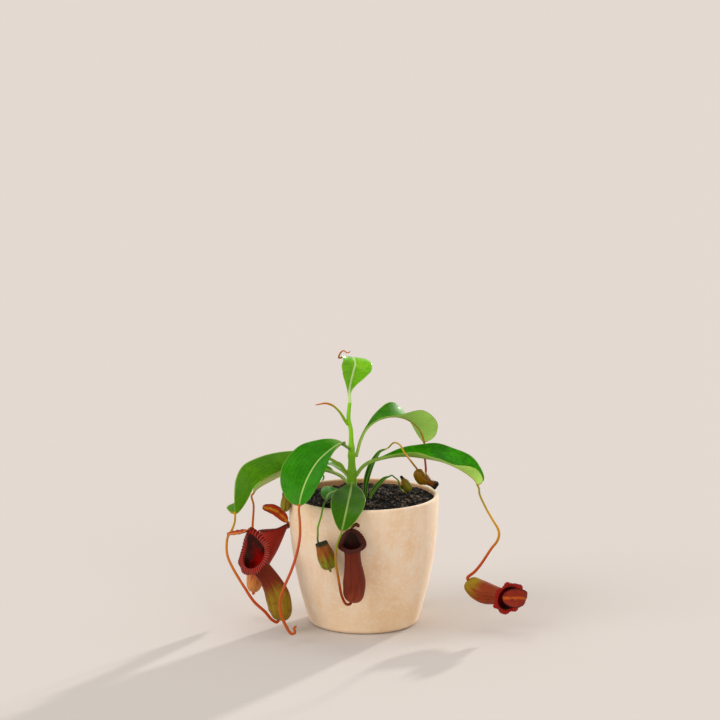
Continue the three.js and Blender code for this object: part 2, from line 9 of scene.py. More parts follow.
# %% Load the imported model
import bpy
import numpy as np
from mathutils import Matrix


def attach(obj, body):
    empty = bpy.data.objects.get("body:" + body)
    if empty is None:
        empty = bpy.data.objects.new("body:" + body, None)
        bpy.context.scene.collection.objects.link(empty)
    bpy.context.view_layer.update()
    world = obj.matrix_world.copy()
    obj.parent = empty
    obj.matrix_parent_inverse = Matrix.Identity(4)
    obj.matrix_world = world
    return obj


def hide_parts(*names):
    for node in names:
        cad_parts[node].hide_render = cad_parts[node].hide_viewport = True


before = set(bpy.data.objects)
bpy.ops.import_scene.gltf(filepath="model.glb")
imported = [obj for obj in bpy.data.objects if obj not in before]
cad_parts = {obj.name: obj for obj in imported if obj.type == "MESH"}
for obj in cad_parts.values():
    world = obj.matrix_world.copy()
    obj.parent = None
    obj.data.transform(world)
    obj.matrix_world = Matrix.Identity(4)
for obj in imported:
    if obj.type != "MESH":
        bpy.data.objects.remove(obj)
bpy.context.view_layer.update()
MM = 0.001
print("nodes in the frame:", len(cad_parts))

# %% [markdown]
# ## Camera and light
#
# A product photo of a small thing is taken from far off with a long lens, which keeps the pot's
# sides almost parallel. The camera stands 2.6 m in front and looks down by ten degrees. A world of
# one pale colour lights the plant evenly but would leave it flat, so four lamps are added: a low,
# narrow one behind on the right, which draws the bright edges and the long shadow, a wide one on
# the left, a weak warm one on the right, and one overhead. They are sun lamps, which light all of
# the floor alike; an area lamp close by would leave a bright pool on it.

# %% Camera
CAMERA_PLACE = (-0.0034, -2.6, 0.716)
CAMERA_TILT = 79.81  # degrees; 90 would look level
CAMERA_LENS = 142.85  # mm, on a sensor 36 mm wide

camera = bpy.data.objects.new("camera", bpy.data.cameras.new("camera"))
camera.data.lens = CAMERA_LENS
camera.data.sensor_width = 36
camera.location = CAMERA_PLACE
camera.rotation_euler = (np.radians(CAMERA_TILT), 0, 0)
bpy.context.scene.collection.objects.link(camera)
bpy.context.scene.camera = camera
bpy.context.scene.view_settings.view_transform = "Standard"
print("camera tilt:", CAMERA_TILT, "degrees")

# %% Lamps and world
def lamp(name, place, width, strength, colour):
    """A far lamp in the direction of a place, seen as a disc so many degrees wide."""
    light = bpy.data.lights.new(name, "SUN")
    light.angle, light.energy, light.color = np.radians(width), strength, colour
    piece = bpy.data.objects.new(name, light)
    piece.location = place
    piece.rotation_euler = piece.location.to_track_quat("Z", "Y").to_euler()
    bpy.context.scene.collection.objects.link(piece)


lamp("back_right_lamp", (1.0, 1.5, 0.5), 3, 2.6, (1.0, 0.97, 0.92))
lamp("left_lamp", (-2.0, -1.1, 1.5), 46, 1.35, (1.0, 1.0, 0.99))
lamp("right_lamp", (1.3, -2.2, 1.0), 30, 0.4, (1.0, 0.9, 0.76))
lamp("overhead_lamp", (-0.3, 0.6, 1.9), 20, 0.3, (1.0, 0.99, 0.98))
WORLD_COLOUR, WORLD_STRENGTH = (0.9, 0.87, 0.86, 1), 0.72
world = bpy.data.worlds.new("studio_air")
bpy.context.scene.world = world
world.use_nodes = True
air = world.node_tree.nodes["Background"].inputs
air["Color"].default_value, air["Strength"].default_value = WORLD_COLOUR, WORLD_STRENGTH

# %% [markdown]
# ## Curves as whole arrays
#
# Every leaf, tendril and pitcher follows a curve through a few points. Blender has Bezier and NURBS
# curves for that, but a surface that is worked out with numpy needs the curve as an array. The
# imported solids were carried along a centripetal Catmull-Rom curve, which passes through all its
# points and makes no loops, so the same curve is worked out here.

# %% Curves and profiles
SPAN_STEPS = 48  # points worked out on each span of a curve


def hermite(a, b, slope_a, slope_b, u):
    """Cubic from a to b with the given slopes: a's weight falls as 1 - 3u^2 + 2u^3, b's rises."""
    return ((1 + 2 * u) * (1 - u) ** 2 * a + u * (1 - u) ** 2 * slope_a
            + u ** 2 * (3 - 2 * u) * b + u ** 2 * (u - 1) * slope_b)


def profile(values, t):
    """Smooth curve through equally spaced values, read at share t: slopes are half the difference
    of a value's two neighbours."""
    v = np.array([values[0], *values, values[-1]], float)
    place = np.asarray(t, float) * (len(values) - 1)
    i = np.clip(np.floor(place).astype(int), 0, len(values) - 2)
    slope_a, slope_b = (v[i + 2] - v[i]) / 2, (v[i + 3] - v[i + 1]) / 2
    return hermite(v[i + 1], v[i + 2], slope_a, slope_b, place - i)


def girth(radii, t):
    """A pitcher's radius: the profile, closed at its base like the end of a ball, r0 + (r - r0) x
    sqrt(1 - (1 - u)^2), where u runs from 0 to 1 over the first of its equal steps."""
    u = np.minimum(1, t * (len(radii) - 1))
    return radii[0] + (profile([radii[1], *radii[1:]], t) - radii[0]) * np.sqrt(1 - (1 - u) ** 2)


def unit(v):
    """Each vector divided by its length."""
    return v / np.linalg.norm(v, axis=-1, keepdims=True)


def around(count):
    """Equal angles once round, without the last, which would be the first again."""
    return np.linspace(0, 2 * np.pi, count, endpoint=False)


def square_to(along, v):
    """The part of v at right angles to unit headings, v - (v . heading) heading, made a unit."""
    return unit(v - (along @ v)[..., None] * along)


def smooth(low, high, x):
    """0 below low, 1 above high, and 3u^2 - 2u^3 between."""
    u = np.clip((x - low) / (high - low), 0, 1)
    return u * u * (3 - 2 * u)


class Route:
    """Centripetal Catmull-Rom curve through points: a span's share of the knots is the square root
    of its length. It is read by share t of the whole length."""

    def __init__(self, points):
        p = np.array(points, float)
        p = np.vstack([2 * p[0] - p[1], p, 2 * p[-1] - p[-2]])
        d = np.sqrt(np.linalg.norm(np.diff(p, axis=0), axis=1))[:, None]
        before, here, after = d[:-2], d[1:-1], d[2:]
        a, b = p[1:-2], p[2:-1]
        turn = (b - a) / here
        slope_a = ((a - p[:-3]) / before - (b - p[:-3]) / (before + here) + turn) * here
        slope_b = (turn - (p[3:] - a) / (here + after) + (p[3:] - b) / after) * here
        u = (np.arange(SPAN_STEPS) / SPAN_STEPS)[None, :, None]
        spans = hermite(a[:, None], b[:, None], slope_a[:, None], slope_b[:, None], u)
        self.points = np.vstack([spans.reshape(-1, 3), p[-2]])
        steps = np.linalg.norm(np.diff(self.points, axis=0), axis=1)
        self.arc = np.concatenate([[0], np.cumsum(steps)])
        self.length = self.arc[-1]

    def read(self, rows, t):
        """Rows that belong to the curve's points, read at shares t."""
        place = np.asarray(t, float) * self.length
        return np.stack([np.interp(place, self.arc, row) for row in rows.T], -1)

    def at(self, t):
        """Points at shares t; before 0 the curve goes straight on backwards."""
        behind = np.minimum(np.asarray(t, float) * self.length, 0)[..., None]
        return self.read(self.points, t) + behind * self.along(0.0)

    def along(self, t):
        """Unit headings at shares t."""
        return unit(self.read(np.gradient(self.points, self.arc, axis=0), t))


def turning(directions, t):
    """The direction at shares t between two or more given ones, mixed in a straight line."""
    d = unit(np.array(directions, float))
    place = t * (len(d) - 1)
    i = np.clip(np.floor(place).astype(int), 0, len(d) - 2)
    u = (place - i)[:, None]
    return unit(d[i] * (1 - u) + d[i + 1] * u)


bend = Route([(0, 0, 0), (10, 0, 0), (20, 10, 0)])
print("a curve of three points is", round(bend.length, 2), "mm long")

# %% [markdown]
# ## From rings to a mesh
#
# All of the plant's pieces are rings of points carried along a route: a tendril's are circles, a
# leaf's are flat loops that run over its face and back under it. One function joins ring to ring
# with quads and closes both ends with a fan, so every piece is one closed skin. The plant's points
# also carry three numbers, called flow, and on leaves, lids and open pitchers three more, called
# span. The finishes read them to know where on a piece they are. A UV map would do the same but
# breaks along its seams.

# %% Mesh helpers
pieces_made = {}


def placed(middle, *parts):
    """Rings of points: each ring's middle plus the sum of amounts times directions."""
    points = middle[:, None]
    for amount, way in parts:
        points = points + amount[..., None] * way[:, None]
    return points


def point_field(shape, *values):
    """Three values for each point of rings of a shape."""
    return np.stack([np.broadcast_to(v, shape) for v in values], -1)


def add_piece(name, points, faces, finish, **fields):
    """Puts points (in mm) and faces into a mesh, with its point fields and its finish."""
    mesh = bpy.data.meshes.new(name)
    mesh.from_pydata((points * MM).tolist(), [], faces)
    for field, values in fields.items():
        layer = mesh.attributes.new(field, "FLOAT_VECTOR", "POINT")
        layer.data.foreach_set("vector", np.asarray(values, np.float32).ravel())
    mesh.polygons.foreach_set("use_smooth", np.ones(len(mesh.polygons), bool))
    mesh.materials.append(finish)
    mesh.update()
    piece = bpy.data.objects.new(name, mesh)
    bpy.context.scene.collection.objects.link(piece)
    return piece


def add_rings(name, rings, finish, **fields):
    """Skins rings, an array of sections x points x 3. A ring runs counter-clockwise about the way
    that the rings travel. The two end fans meet at the middles of their rings."""
    sections, count = rings.shape[:2]
    index = np.arange(sections * count).reshape(sections, count)
    ahead = np.roll(index, -1, axis=1)
    quads = np.stack([index[:-1], ahead[:-1], ahead[1:], index[1:]], -1).reshape(-1, 4)
    foot, top = np.full(count, index.size), np.full(count, index.size + 1)
    fans = np.hstack([[foot, ahead[0], index[0]], [top, index[-1], ahead[-1]]]).T

    def closed(v):
        """Every ring's points, then the middles of the first ring and the last."""
        return np.vstack([v.reshape(-1, 3), v[0].mean(0), v[-1].mean(0)])

    ends = {key: closed(v) for key, v in fields.items()}
    return add_piece(name, closed(rings), quads.tolist() + fans.tolist(), finish, **ends)


def stands_for(piece, node):
    """Rides on the pot and plant's one body, hides the plain solid and notes its number of faces."""
    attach(piece, "root")
    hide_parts(node)
    pieces_made[piece.name] = len(piece.data.polygons)


print("mesh helpers ready")

# %% [markdown]
# ## Finishes as sums
#
# A finish is a small network of shader nodes. Wiring it by hand hides what it does, so a class
# wraps each socket: a sum such as 1 - mask adds the Math nodes itself. Plain numbers go through
# Math nodes; colours go through Mix, because a Math node would turn them grey.

# %% Sockets and finishes
class Wire:
    """A socket that takes part in sums: each operator adds one Math node to its finish."""

    def __init__(self, finish, socket):
        self.finish, self.socket = finish, socket

    def math(self, operation, *others):
        """One Math node on this wire, and on others where the operation takes more."""
        return self.finish.node("Math", {"operation": operation}, dict(enumerate((self, *others))))

    def __add__(self, other):
        return self.math("ADD", other)

    def __sub__(self, other):
        return self.math("SUBTRACT", other)

    def __rsub__(self, other):
        return self.finish.node("Math", {"operation": "SUBTRACT"}, {0: other, 1: self})

    def __mul__(self, other):
        return self.math("MULTIPLY", other)

    def __pow__(self, power):
        return self.math("POWER", power)

    __radd__ = __add__
    __rmul__ = __mul__


class Finish:
    """A material on one Principled shader, whose constant settings are given first."""

    def __init__(self, name, **constants):
        self.material = bpy.data.materials.new(name)
        self.material.use_nodes = True
        self.tree = self.material.node_tree
        self.shader = self.tree.nodes["Principled BSDF"]
        for key, value in constants.items():
            self.socket(key).default_value = value

    def socket(self, key):
        """The shader's socket of a name in small letters, such as specular_ior_level."""
        return self.shader.inputs[key.replace("_", " ").title().replace("Ior", "IOR")]

    def node(self, kind, settings=None, sockets=None, out=0):
        """Adds a node of a kind, sets it, feeds its sockets, and gives one output as a Wire."""
        made = self.tree.nodes.new("ShaderNode" + kind)
        for key, value in (settings or {}).items():
            setattr(made, key, value)
        for key, value in (sockets or {}).items():
            if isinstance(value, Wire):
                self.tree.links.new(value.socket, made.inputs[key])
            else:
                made.inputs[key].default_value = value
        return Wire(self, made.outputs[out])

    def place(self):
        """Object coordinates, in metres."""
        return self.node("TexCoord", out="Object")

    def split(self, vector):
        """A vector's three numbers as wires."""
        parts = self.node("SeparateXYZ", sockets={0: vector}).socket.node
        return [Wire(self, socket) for socket in parts.outputs]

    def field(self, name):
        """A point field's three numbers as wires."""
        return self.split(self.node("Attribute", {"attribute_name": name}, out="Vector"))

    def vector(self, x, y, z):
        return self.node("CombineXYZ", sockets={0: x, 1: y, 2: z})

    def noise(self, scale, detail=3.0, roughness=0.55, vector=None):
        """Cloudy noise around 0.5."""
        return self.node("TexNoise", sockets={"Vector": vector or self.place(), "Scale": scale,
                                              "Detail": detail, "Roughness": roughness})

    def step(self, x, low, high):
        """Smooth step of x from 0 at low to 1 at high."""
        return self.node("MapRange", {"interpolation_type": "SMOOTHSTEP"}, {0: x, 1: low, 2: high})

    def blend(self, share, a, b):
        """Colour a where share is 0 and b where it is 1; each is a wire or a screen colour."""
        a, b = (c if isinstance(c, Wire) else paint(c) for c in (a, b))
        return self.node("Mix", {"data_type": "RGBA"}, {0: share, 6: a, 7: b}, out=2)

    def feed(self, colour, roughness, relief, depth, strength=1.0):
        """Feeds the shader a colour, a roughness and the normal of a surface that is raised by
        relief times depth, in metres. Gives the finished material."""
        heights = {"Height": relief, "Distance": depth, "Strength": strength}
        normal = self.node("Bump", sockets=heights)
        for key, wire in {"base_color": colour, "roughness": roughness, "normal": normal}.items():
            self.tree.links.new(wire.socket, self.socket(key))
        return self.material


def paint(code):
    """A screen colour such as e3c6a4 as linear light: ((c + 0.055) / 1.055) ^ 2.4."""
    c = np.array([int(code[i:i + 2], 16) / 255 for i in (0, 2, 4)])
    return (*np.where(c <= 0.04045, c / 12.92, ((c + 0.055) / 1.055) ** 2.4), 1.0)


FINISHES = {}


def add_looks(recipe, looks):
    """Makes one finish for each row of a table: its screen colours, then its other values."""
    for name, (colours, *others) in looks.items():
        FINISHES[name] = recipe(name, *colours.split(), *others)
    print("finishes:", list(looks))


print("paint e3c6a4 is", [round(float(c), 3) for c in paint("e3c6a4")])

# %% [markdown]
# ## Studio floor
#
# The floor is a wide pale sheet that curves up into a low wall, as a paper roll does in a studio.
# The wall stands so far behind that its shade stays off the floor that the camera sees.

# %% Floor
FLOOR_HALF_WIDTH = 9.0
FLOOR_FRONT, FLOOR_BACK = -6.0, 20.0
SWEEP_RADIUS, WALL_TOP = 2.0, 2.2
turn = np.linspace(0, np.pi / 2, 24)
sweep = np.stack([FLOOR_BACK + SWEEP_RADIUS * np.sin(turn), SWEEP_RADIUS * (1 - np.cos(turn))], -1)
line = np.vstack([[FLOOR_FRONT, 0], sweep, [FLOOR_BACK + SWEEP_RADIUS, WALL_TOP]])
pale = paint("cfc8c2")
paper = Finish("studio_paper", base_color=pale, roughness=1, specular_ior_level=0).material
sides = (-FLOOR_HALF_WIDTH, FLOOR_HALF_WIDTH)
sheet = np.stack([np.insert(line, 0, x, axis=1) for x in sides], 1) / MM
corners = np.arange(len(line) * 2).reshape(-1, 2)
floor_faces = np.hstack([corners[:-1], corners[1:, ::-1]]).tolist()
add_piece("studio_floor", sheet.reshape(-1, 3), floor_faces, paper)
print("floor sections:", len(line))

# %% [markdown]
# ## Clay pot
#
# The pot is turned: one profile carried round the axis. Its wall bows outwards as it rises, and the
# rim is a half round. The finish is unglazed clay: cream with soft cloudy patches, faint upright
# streaks from the wiping sponge, warmer where it stood damp near the foot, and a fine dry grain.
# Inside the rim the clay is painted warm brown, as painted shade and warm bounce light.

# %% Pot shape
POT_HEIGHT, RIM_RADIUS, LOWER_RADIUS = 122.0, 70.0, 51.8
FOOT_RADIUS, CORNER, BOW = 46.0, 5.0, 2.1
POT_WALL, POT_FLOOR = 4.4, 6.0
POT_TURNS = 192  # points round the pot
CORNER_ROWS, WALL_ROWS, RIM_ROWS, INNER_ROWS = 9, 40, 17, 30


def pot_radius(z):
    """Outside radius at height z: 70 - 18.2 x (share of the wall still above z) ^ 2.1."""
    above = np.clip((POT_HEIGHT - z) / (POT_HEIGHT - CORNER), 0, 1)
    return RIM_RADIUS - (RIM_RADIUS - LOWER_RADIUS) * above ** BOW


def turned(outline, count):
    """Carries an outline of radius and height round the axis: x = r cos a, y = r sin a."""
    a = around(count)
    r, z = outline[:, :1], np.repeat(outline[:, 1:], count, axis=1)
    return np.stack([r * np.cos(a), r * np.sin(a), z], -1)


def pot_outline():
    """Foot, quarter-round corner, bowed wall, half-round rim, inner wall and floor."""
    a = np.linspace(0, np.pi / 2, CORNER_ROWS)
    swing = (LOWER_RADIUS - FOOT_RADIUS) * np.sin(a)
    corner = np.stack([FOOT_RADIUS + swing, CORNER * (1 - np.cos(a))], -1)
    lip = POT_WALL / 2
    z = np.linspace(CORNER, POT_HEIGHT - lip, WALL_ROWS)
    wall = np.stack([pot_radius(z), z], -1)[1:]
    b = np.linspace(0, np.pi, RIM_ROWS)[1:-1]
    rim = np.stack([pot_radius(z[-1]) - lip + lip * np.cos(b), z[-1] + lip * np.sin(b)], -1)
    z = np.linspace(POT_HEIGHT - lip, POT_FLOOR, INNER_ROWS)
    inside = np.stack([pot_radius(z) - POT_WALL, z], -1)
    return np.vstack([[[FOOT_RADIUS / 2, 0]], corner, wall, rim, inside, [[20, POT_FLOOR]]])


# %% Clay finish
SHADED_INNER_WALL = (0.0655, 0.0668)  # metres from the axis: inside this the clay is painted browner, as painted shade and warm bounce light
FOOT_STAIN = 0.035  # metres up the wall


def clay():
    f = Finish("pale_clay", specular_ior_level=0.12, sheen_weight=0.35, sheen_roughness=0.6)
    x, y, height = f.split(f.place())
    clouds = f.noise(26, 4)
    streaks = f.noise(120, 3, vector=f.vector(x, y, height * 0.12))
    grain = f.noise(1500, 2)
    colour = f.blend(f.step(clouds + (streaks - 0.5) * 0.6, 0.3, 0.72), "f2d9bb", "edc9a0")
    colour = f.blend(f.step(f.noise(330, 2), 0.52, 0.7) * 0.45, colour, "f8e8d2")
    colour = f.blend(f.step(f.noise(70, 4, 0.7), 0.52, 0.6) * 0.3, colour, "f4e6d2")
    colour = f.blend(f.step(f.noise(210, 3, 0.6), 0.58, 0.72) * 0.12, colour, "dcb288")
    colour = f.blend((1 - f.step(height, 0.0, FOOT_STAIN)) * 0.35, colour, "ebc893")
    reach = (x ** 2.0 + y ** 2.0) ** 0.5
    # painted shade: the inner wall above the soil is painted warm brown for shade and warm bounce
    # light
    inner = (1 - f.step(reach, *SHADED_INNER_WALL)) * f.step(height, 0.1, 0.101)
    colour = f.blend(inner * 0.8, colour, "d08c58")
    return f.feed(colour, 0.78 + clouds * 0.16, grain * 0.5 + clouds + streaks * 0.4, 0.00035)


stands_for(add_rings("pot_clay", turned(pot_outline(), POT_TURNS), clay()), "pot")
print("pot faces:", pieces_made["pot_clay"])

# %% [markdown]
# ## Potting mix
#
# The soil is nearly black and very rough: fine crumbs, and chips of bark that stick out. A bump map
# would stay flat at its edge, where the camera looks along it, so the crumbs are real heights on a
# round grid, and the chips and grains are small solids that a seeded draw scatters and turns.

# %% Soil bed
SOIL_EDGE, SOIL_MOUND = 116.2, 3.6
SOIL_TILT = 1.6  # how much higher it lies at the right rim than in the middle
LUMP_MEAN = 3.2  # taken off again after the lumps are added
SOIL_TURNS, SOIL_ROWS, SOIL_GAP = 300, 110, 0.4
CELLS = 64
draw = np.random.default_rng(7)
LATTICE = draw.random((CELLS, CELLS))


def lumps(x, y, size):
    """Value noise: random heights on a lattice of the given size, joined by smooth steps."""
    u, v = x / size, y / size
    i, j = np.floor(u).astype(int), np.floor(v).astype(int)
    fu, fv = smooth(0, 1, u - i), smooth(0, 1, v - j)
    h = [LATTICE[(i + di) % CELLS, (j + dj) % CELLS] for di in (0, 1) for dj in (0, 1)]
    return (h[0] * (1 - fv) + h[1] * fv) * (1 - fu) + (h[2] * (1 - fv) + h[3] * fv) * fu


def soil_height(x, y):
    """Edge height + mound x (1 - share^2) + tilt, with lumps of 9, 4, 2 and 1 mm on it."""
    share = np.hypot(x, y) / RIM_RADIUS
    rough = 2.6 * lumps(x, y, 9) + 1.8 * lumps(x + 31, y, 4.2) + 1.1 * lumps(x, y + 17, 2.1)
    fine = 0.7 * lumps(x + 5, y + 9, 1.1)
    level = SOIL_EDGE + SOIL_MOUND * (1 - share ** 2) + SOIL_TILT * x / RIM_RADIUS
    return level + rough + fine - LUMP_MEAN


def soil_bed():
    """Rings up the inside of the wall, then inwards over the top."""
    inner = pot_radius(SOIL_EDGE) - POT_WALL - SOIL_GAP
    a = around(SOIL_TURNS)
    radii = inner * np.linspace(1, 0.01, SOIL_ROWS)[:, None]
    x, y = radii * np.cos(a), radii * np.sin(a)
    top = np.stack([x, y, soil_height(x, y)], -1)
    z = np.array([POT_FLOOR + SOIL_GAP, 40, 80, 108])
    side = turned(np.stack([pot_radius(z) - POT_WALL - 0.6, z], -1), SOIL_TURNS)
    return np.vstack([side, top])


# %% Soil finish
def soil_finish(name, dark, light, scale):
    f = Finish(name, specular_ior_level=0.22)
    coarse, fine = f.noise(scale, 4), f.noise(scale * 5, 3)
    colour = f.blend(f.step(coarse * 0.6 + fine * 0.4, 0.42, 0.66), dark, light)
    return f.feed(colour, 0.62 + fine * 0.4, coarse + fine, 0.0006)


crumb_finish = soil_finish("damp_crumbs", "040302", "160f0a", 220)
bark_finish = soil_finish("bark_chips", "0a0604", "7c6856", 110)
stands_for(add_rings("soil_bed", soil_bed(), crumb_finish), "soil")
print("soil faces:", pieces_made["soil_bed"])

# %% Bark chips and grains
ROUND = ((1, 0), (0, 1), (-1, 0), (0, -1))
BALL = np.array([(x, y, z) for z in (-1, 0, 1) for x, y in ROUND], float)
BALL[[0, 1, 2, 3, 8, 9, 10, 11]] *= 0.75  # the bottom and top rings are drawn in
SIDES = [(k + s, k + (s + 1) % 4, k + (s + 1) % 4 + 4, k + s + 4) for k in (0, 4) for s in range(4)]
BALL_FACES = [(3, 2, 1, 0), (8, 9, 10, 11), *SIDES]
CHIP_COUNT, GRAIN_COUNT = 520, 900
CHIP_LIFT = 0.2  # a chip's middle is so much of its half height above the soil


def turns(count, lean):
    """Random rotations: a turn about Z, then a lean about a level axis, 1 + sin x K + (1 - cos) x
    K^2, where K is the matrix of the cross product with that axis."""
    spin, way = draw.random(count) * 2 * np.pi, draw.random(count) * 2 * np.pi
    tip = (lean * draw.random(count))[:, None, None]
    x, y, none = np.cos(way), np.sin(way), np.zeros(count)
    cross = np.stack([none, none, y, none, none, -x, -y, x, none], -1).reshape(-1, 3, 3)
    c, s = np.cos(spin), np.sin(spin)
    flat = np.stack([c, -s, none, s, c, none, none, none, none + 1], -1).reshape(-1, 3, 3)
    return (np.eye(3) + np.sin(tip) * cross + (1 - np.cos(tip)) * cross @ cross) @ flat


def scatter(name, count, sizes, lean, finish):
    """Copies of a twelve-point chip, each stretched, roughened, turned and set in the soil."""
    reach = (pot_radius(SOIL_EDGE) - POT_WALL - 4) * np.sqrt(draw.random(count))
    a = draw.random(count) * 2 * np.pi
    x, y = reach * np.cos(a), reach * np.sin(a)
    low, high = np.array(sizes)
    scale = low + (high - low) * draw.random((count, 3)) ** 1.6
    shape = BALL[None] * scale[:, None] * (0.75 + 0.5 * draw.random((count, len(BALL), 3)))
    middle = np.stack([x, y, soil_height(x, y) + CHIP_LIFT * scale[:, 2]], -1)
    points = np.einsum("nij,nkj->nki", turns(count, lean), shape) + middle[:, None]
    shift = (np.arange(count) * len(BALL)).tolist()
    faces = [tuple(i + s for i in face) for s in shift for face in BALL_FACES]
    piece = add_piece(name, points.reshape(-1, 3), faces, finish)
    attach(piece, "root")
    pieces_made[name] = len(faces)


scatter("soil_chips", CHIP_COUNT, [(0.9, 0.6, 0.3), (5.2, 2.4, 1.3)], 0.9, bark_finish)
scatter("soil_grains", GRAIN_COUNT, [(0.35, 0.35, 0.3), (1.1, 1.0, 0.8)], 1.5, crumb_finish)
print("chips and grains:", CHIP_COUNT + GRAIN_COUNT)

# %% [markdown]
# ## The plant's plan
#
# The plant is eleven limbs. Each is a leaf with what grows on its tip: a tendril, and on nine of
# them a pitcher. Five pitchers are open under a lid; the four small ones, called pods here, are
# closed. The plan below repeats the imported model's routes, in millimetres, from the stem outwards;
# only the top tendril lies a little lower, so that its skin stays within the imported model's box. A
# leaf's face looks the way that its directions say, from base to tip, and fold is the rise of its
# two halves in degrees.

# %% Limbs of the left side
LIMBS = {}


def limb(name, **parts):
    """Notes the parts of a limb: its leaf, tendril, pitcher or pod, lid, and their finishes."""
    LIMBS[name] = parts


limb("top",
    leaf=dict(route=[(-13, 0, 209.4), (-13.5, 0, 218), (-12, -2, 228), (-9.5, -4, 239),
        (-8, -3.5, 246), (-9.5, 0.5, 250.5), (-15, 5, 251), (-20, 6, 250)],
        face=[(0, -1, 0.1), (0, -1, 0.3), (0.3, -0.6, 0.8), (0.4, 0.3, 1)], half=17.5,
        stalk_half=1.6, stalk_share=0.1, widest=0.66, fold=[(8, 5, -15), (30, 46, 30, -20)],
        roundness=(1, 0.7), stalk_thick=2.4),
    tendril=dict(via=[(-21.5, 0, 255.2), (-18.5, -4, 258.1), (-15, -5, 256.2), (-12, -6, 258)],
        radii=[0.9, 0.8, 0.5]),
    finish=("young_leaf", "amber_tendril"))
limb("front_left",
    leaf=dict(route=[(-13.7, -3, 166), (-21, -13, 172), (-31, -26, 169), (-43, -40, 160),
        (-52, -54, 147), (-57, -64, 134), (-58.5, -68, 126)],
        face=[(0.3, -0.9, 1), (-0.1, -0.8, 0.8), (-0.4, -1, 0.45)], half=28.5, stalk_share=0.1,
        widest=0.58, fold=[(0, 0), (60, 60, 45, 30)], roundness=(0.7, 0.55), ripple=0.7),
    tendril=dict(via=[(-58, -72, 112), (-58, -75, 99), (-61, -77, 83), (-66, -79, 68),
        (-72, -80, 54), (-76, -80, 41), (-75.5, -80, 29), (-71, -80, 17), (-66, -80, 9.5),
        (-62.5, -80, 10.5), (-63.5, -80, 14.5), (-61, -80, 17)],
        radii=[1.1, 1.3, 1.4, 1.4, 1.5, 1.6, 1.2]),
    finish=("deep_leaf", "salmon_tendril"))
limb("left",
    leaf=dict(route=[(-15.8, 0, 143), (-22, 2, 149), (-30, 4, 154), (-46, 5, 160), (-63, 4, 162),
        (-82, 0, 161), (-98, -5, 157.5), (-112, -11, 151), (-118, -17, 140), (-119.5, -22, 125),
        (-119, -24, 108)], face=[(0, -0.2, 1), (0, -0.3, 1), (-1, -0.9, 0.2)], half=25,
        stalk_share=0.2, widest=0.56, fold=[(-40, -60, -70, -70, -60), (-22, -22, -22)], lobe=15,
        ripple=0.8),
    tendril=dict(via=[(-119.5, -23, 100), (-122, -22, 93), (-126, -22, 86), (-127, -24, 79),
        (-126, -30, 70), (-121, -36, 60), (-111, -43, 45), (-101, -48, 31), (-91, -50, 22),
        (-84.5, -50, 14.3)], radii=[1, 1.2, 1.3, 1.4, 1.5, 1.5]),
    pitcher=dict(route=[(-79, -47.8, 13.4), (-77, -45.6, 21), (-79.8, -41.2, 35.5),
        (-87.5, -38.5, 50.5), (-95.5, -38, 61.5), (-101.3, -40, 73)],
        radii=[1.5, 11, 11.4, 9.8, 8.6, 9, 12.4], back=(0.38, 1, 0.2), tilt=0.6, neck=11.5,
        flare=5.5, droop=0.6, rise=0.9, ribs=46, scallop=0.1),
    lid=dict(via=[(-109.5, -32, 93.5), (-117, -34, 92), (-126, -36, 91.5)],
        face=[(0, -0.08, 1), (0, -0.08, 1)], half=6.5),
    finish=("olive_leaf", "golden_tendril", "red_pitcher", "red_lid"))
limb("left_back",
    leaf=dict(route=[(-14.8, 3.4, 131.5), (-19, 8, 135), (-25, 13, 138), (-37, 20, 140),
        (-55, 26, 138), (-74, 30, 134), (-90, 32, 126), (-101, 32, 119), (-104, 32, 115)],
        face=[(0, 0.1, 1), (0, 0, 1), (-0.8, 0, 1)], half=20, stalk_share=0.2, widest=0.55,
        fold=[(22, 24), (22, 24)], ripple=0.5),
    tendril=dict(via=[(-104, 32, 104), (-105, 31, 82), (-104.5, 30, 58), (-103, 28.5, 38),
        (-103.5, 23, 23)], radii=[1, 1.2, 1.4, 1.5]),
    pitcher=dict(route=[(-104, 17, 23.5), (-103, 16, 32), (-98.2, 13.5, 48), (-90.2, 11.5, 67.5),
        (-84.3, 11, 85.3)], radii=[1.5, 7.8, 8.4, 8, 9.4, 10.8, 11.8], back=(0.85, -0.5, 0),
        tilt=0.5, neck=4.5, crest=4, flare=2.2, droop=0.8, ribs=44),
    lid=dict(via=[(-77.5, 5, 100.5), (-84, 4, 105.5), (-94.5, 3, 108.5)],
        face=[(0.3, -1, 0.5), (0.3, -1, 0.6)], half=5.5),
    finish=("pale_leaf", "orange_tendril", "crimson_pitcher", "flame_lid"))
limb("back_left",
    leaf=dict(route=[(-13.7, 4.2, 136), (-21, 18, 141), (-31, 33, 143), (-39, 48, 140),
        (-42, 59, 133)], face=[(0, 0, 1), (0, 0.6, 1)], half=11, stalk_share=0.2, widest=0.55),
    tendril=dict(via=[(-41, 68, 127), (-38, 73, 121), (-46, 70, 112), (-60, 57, 106),
        (-69, 41, 110), (-72.4, 26, 114), (-73, 12, 116), (-72.6, -3, 115.5)],
        radii=[0.8, 0.9, 0.9, 0.9]),
    pod=dict(route=[(-72, -14.5, 112.5), (-72.4, -20.5, 114), (-72, -22.8, 118.5),
        (-71.6, -22.8, 125.5), (-71.2, -22.8, 132)], radii=[1, 4, 4.4, 4.2, 3.4, 3.6, 2.2]),
    finish=("deep_leaf", "green_tendril", "olive_pod"))
print("left limbs:", list(LIMBS))

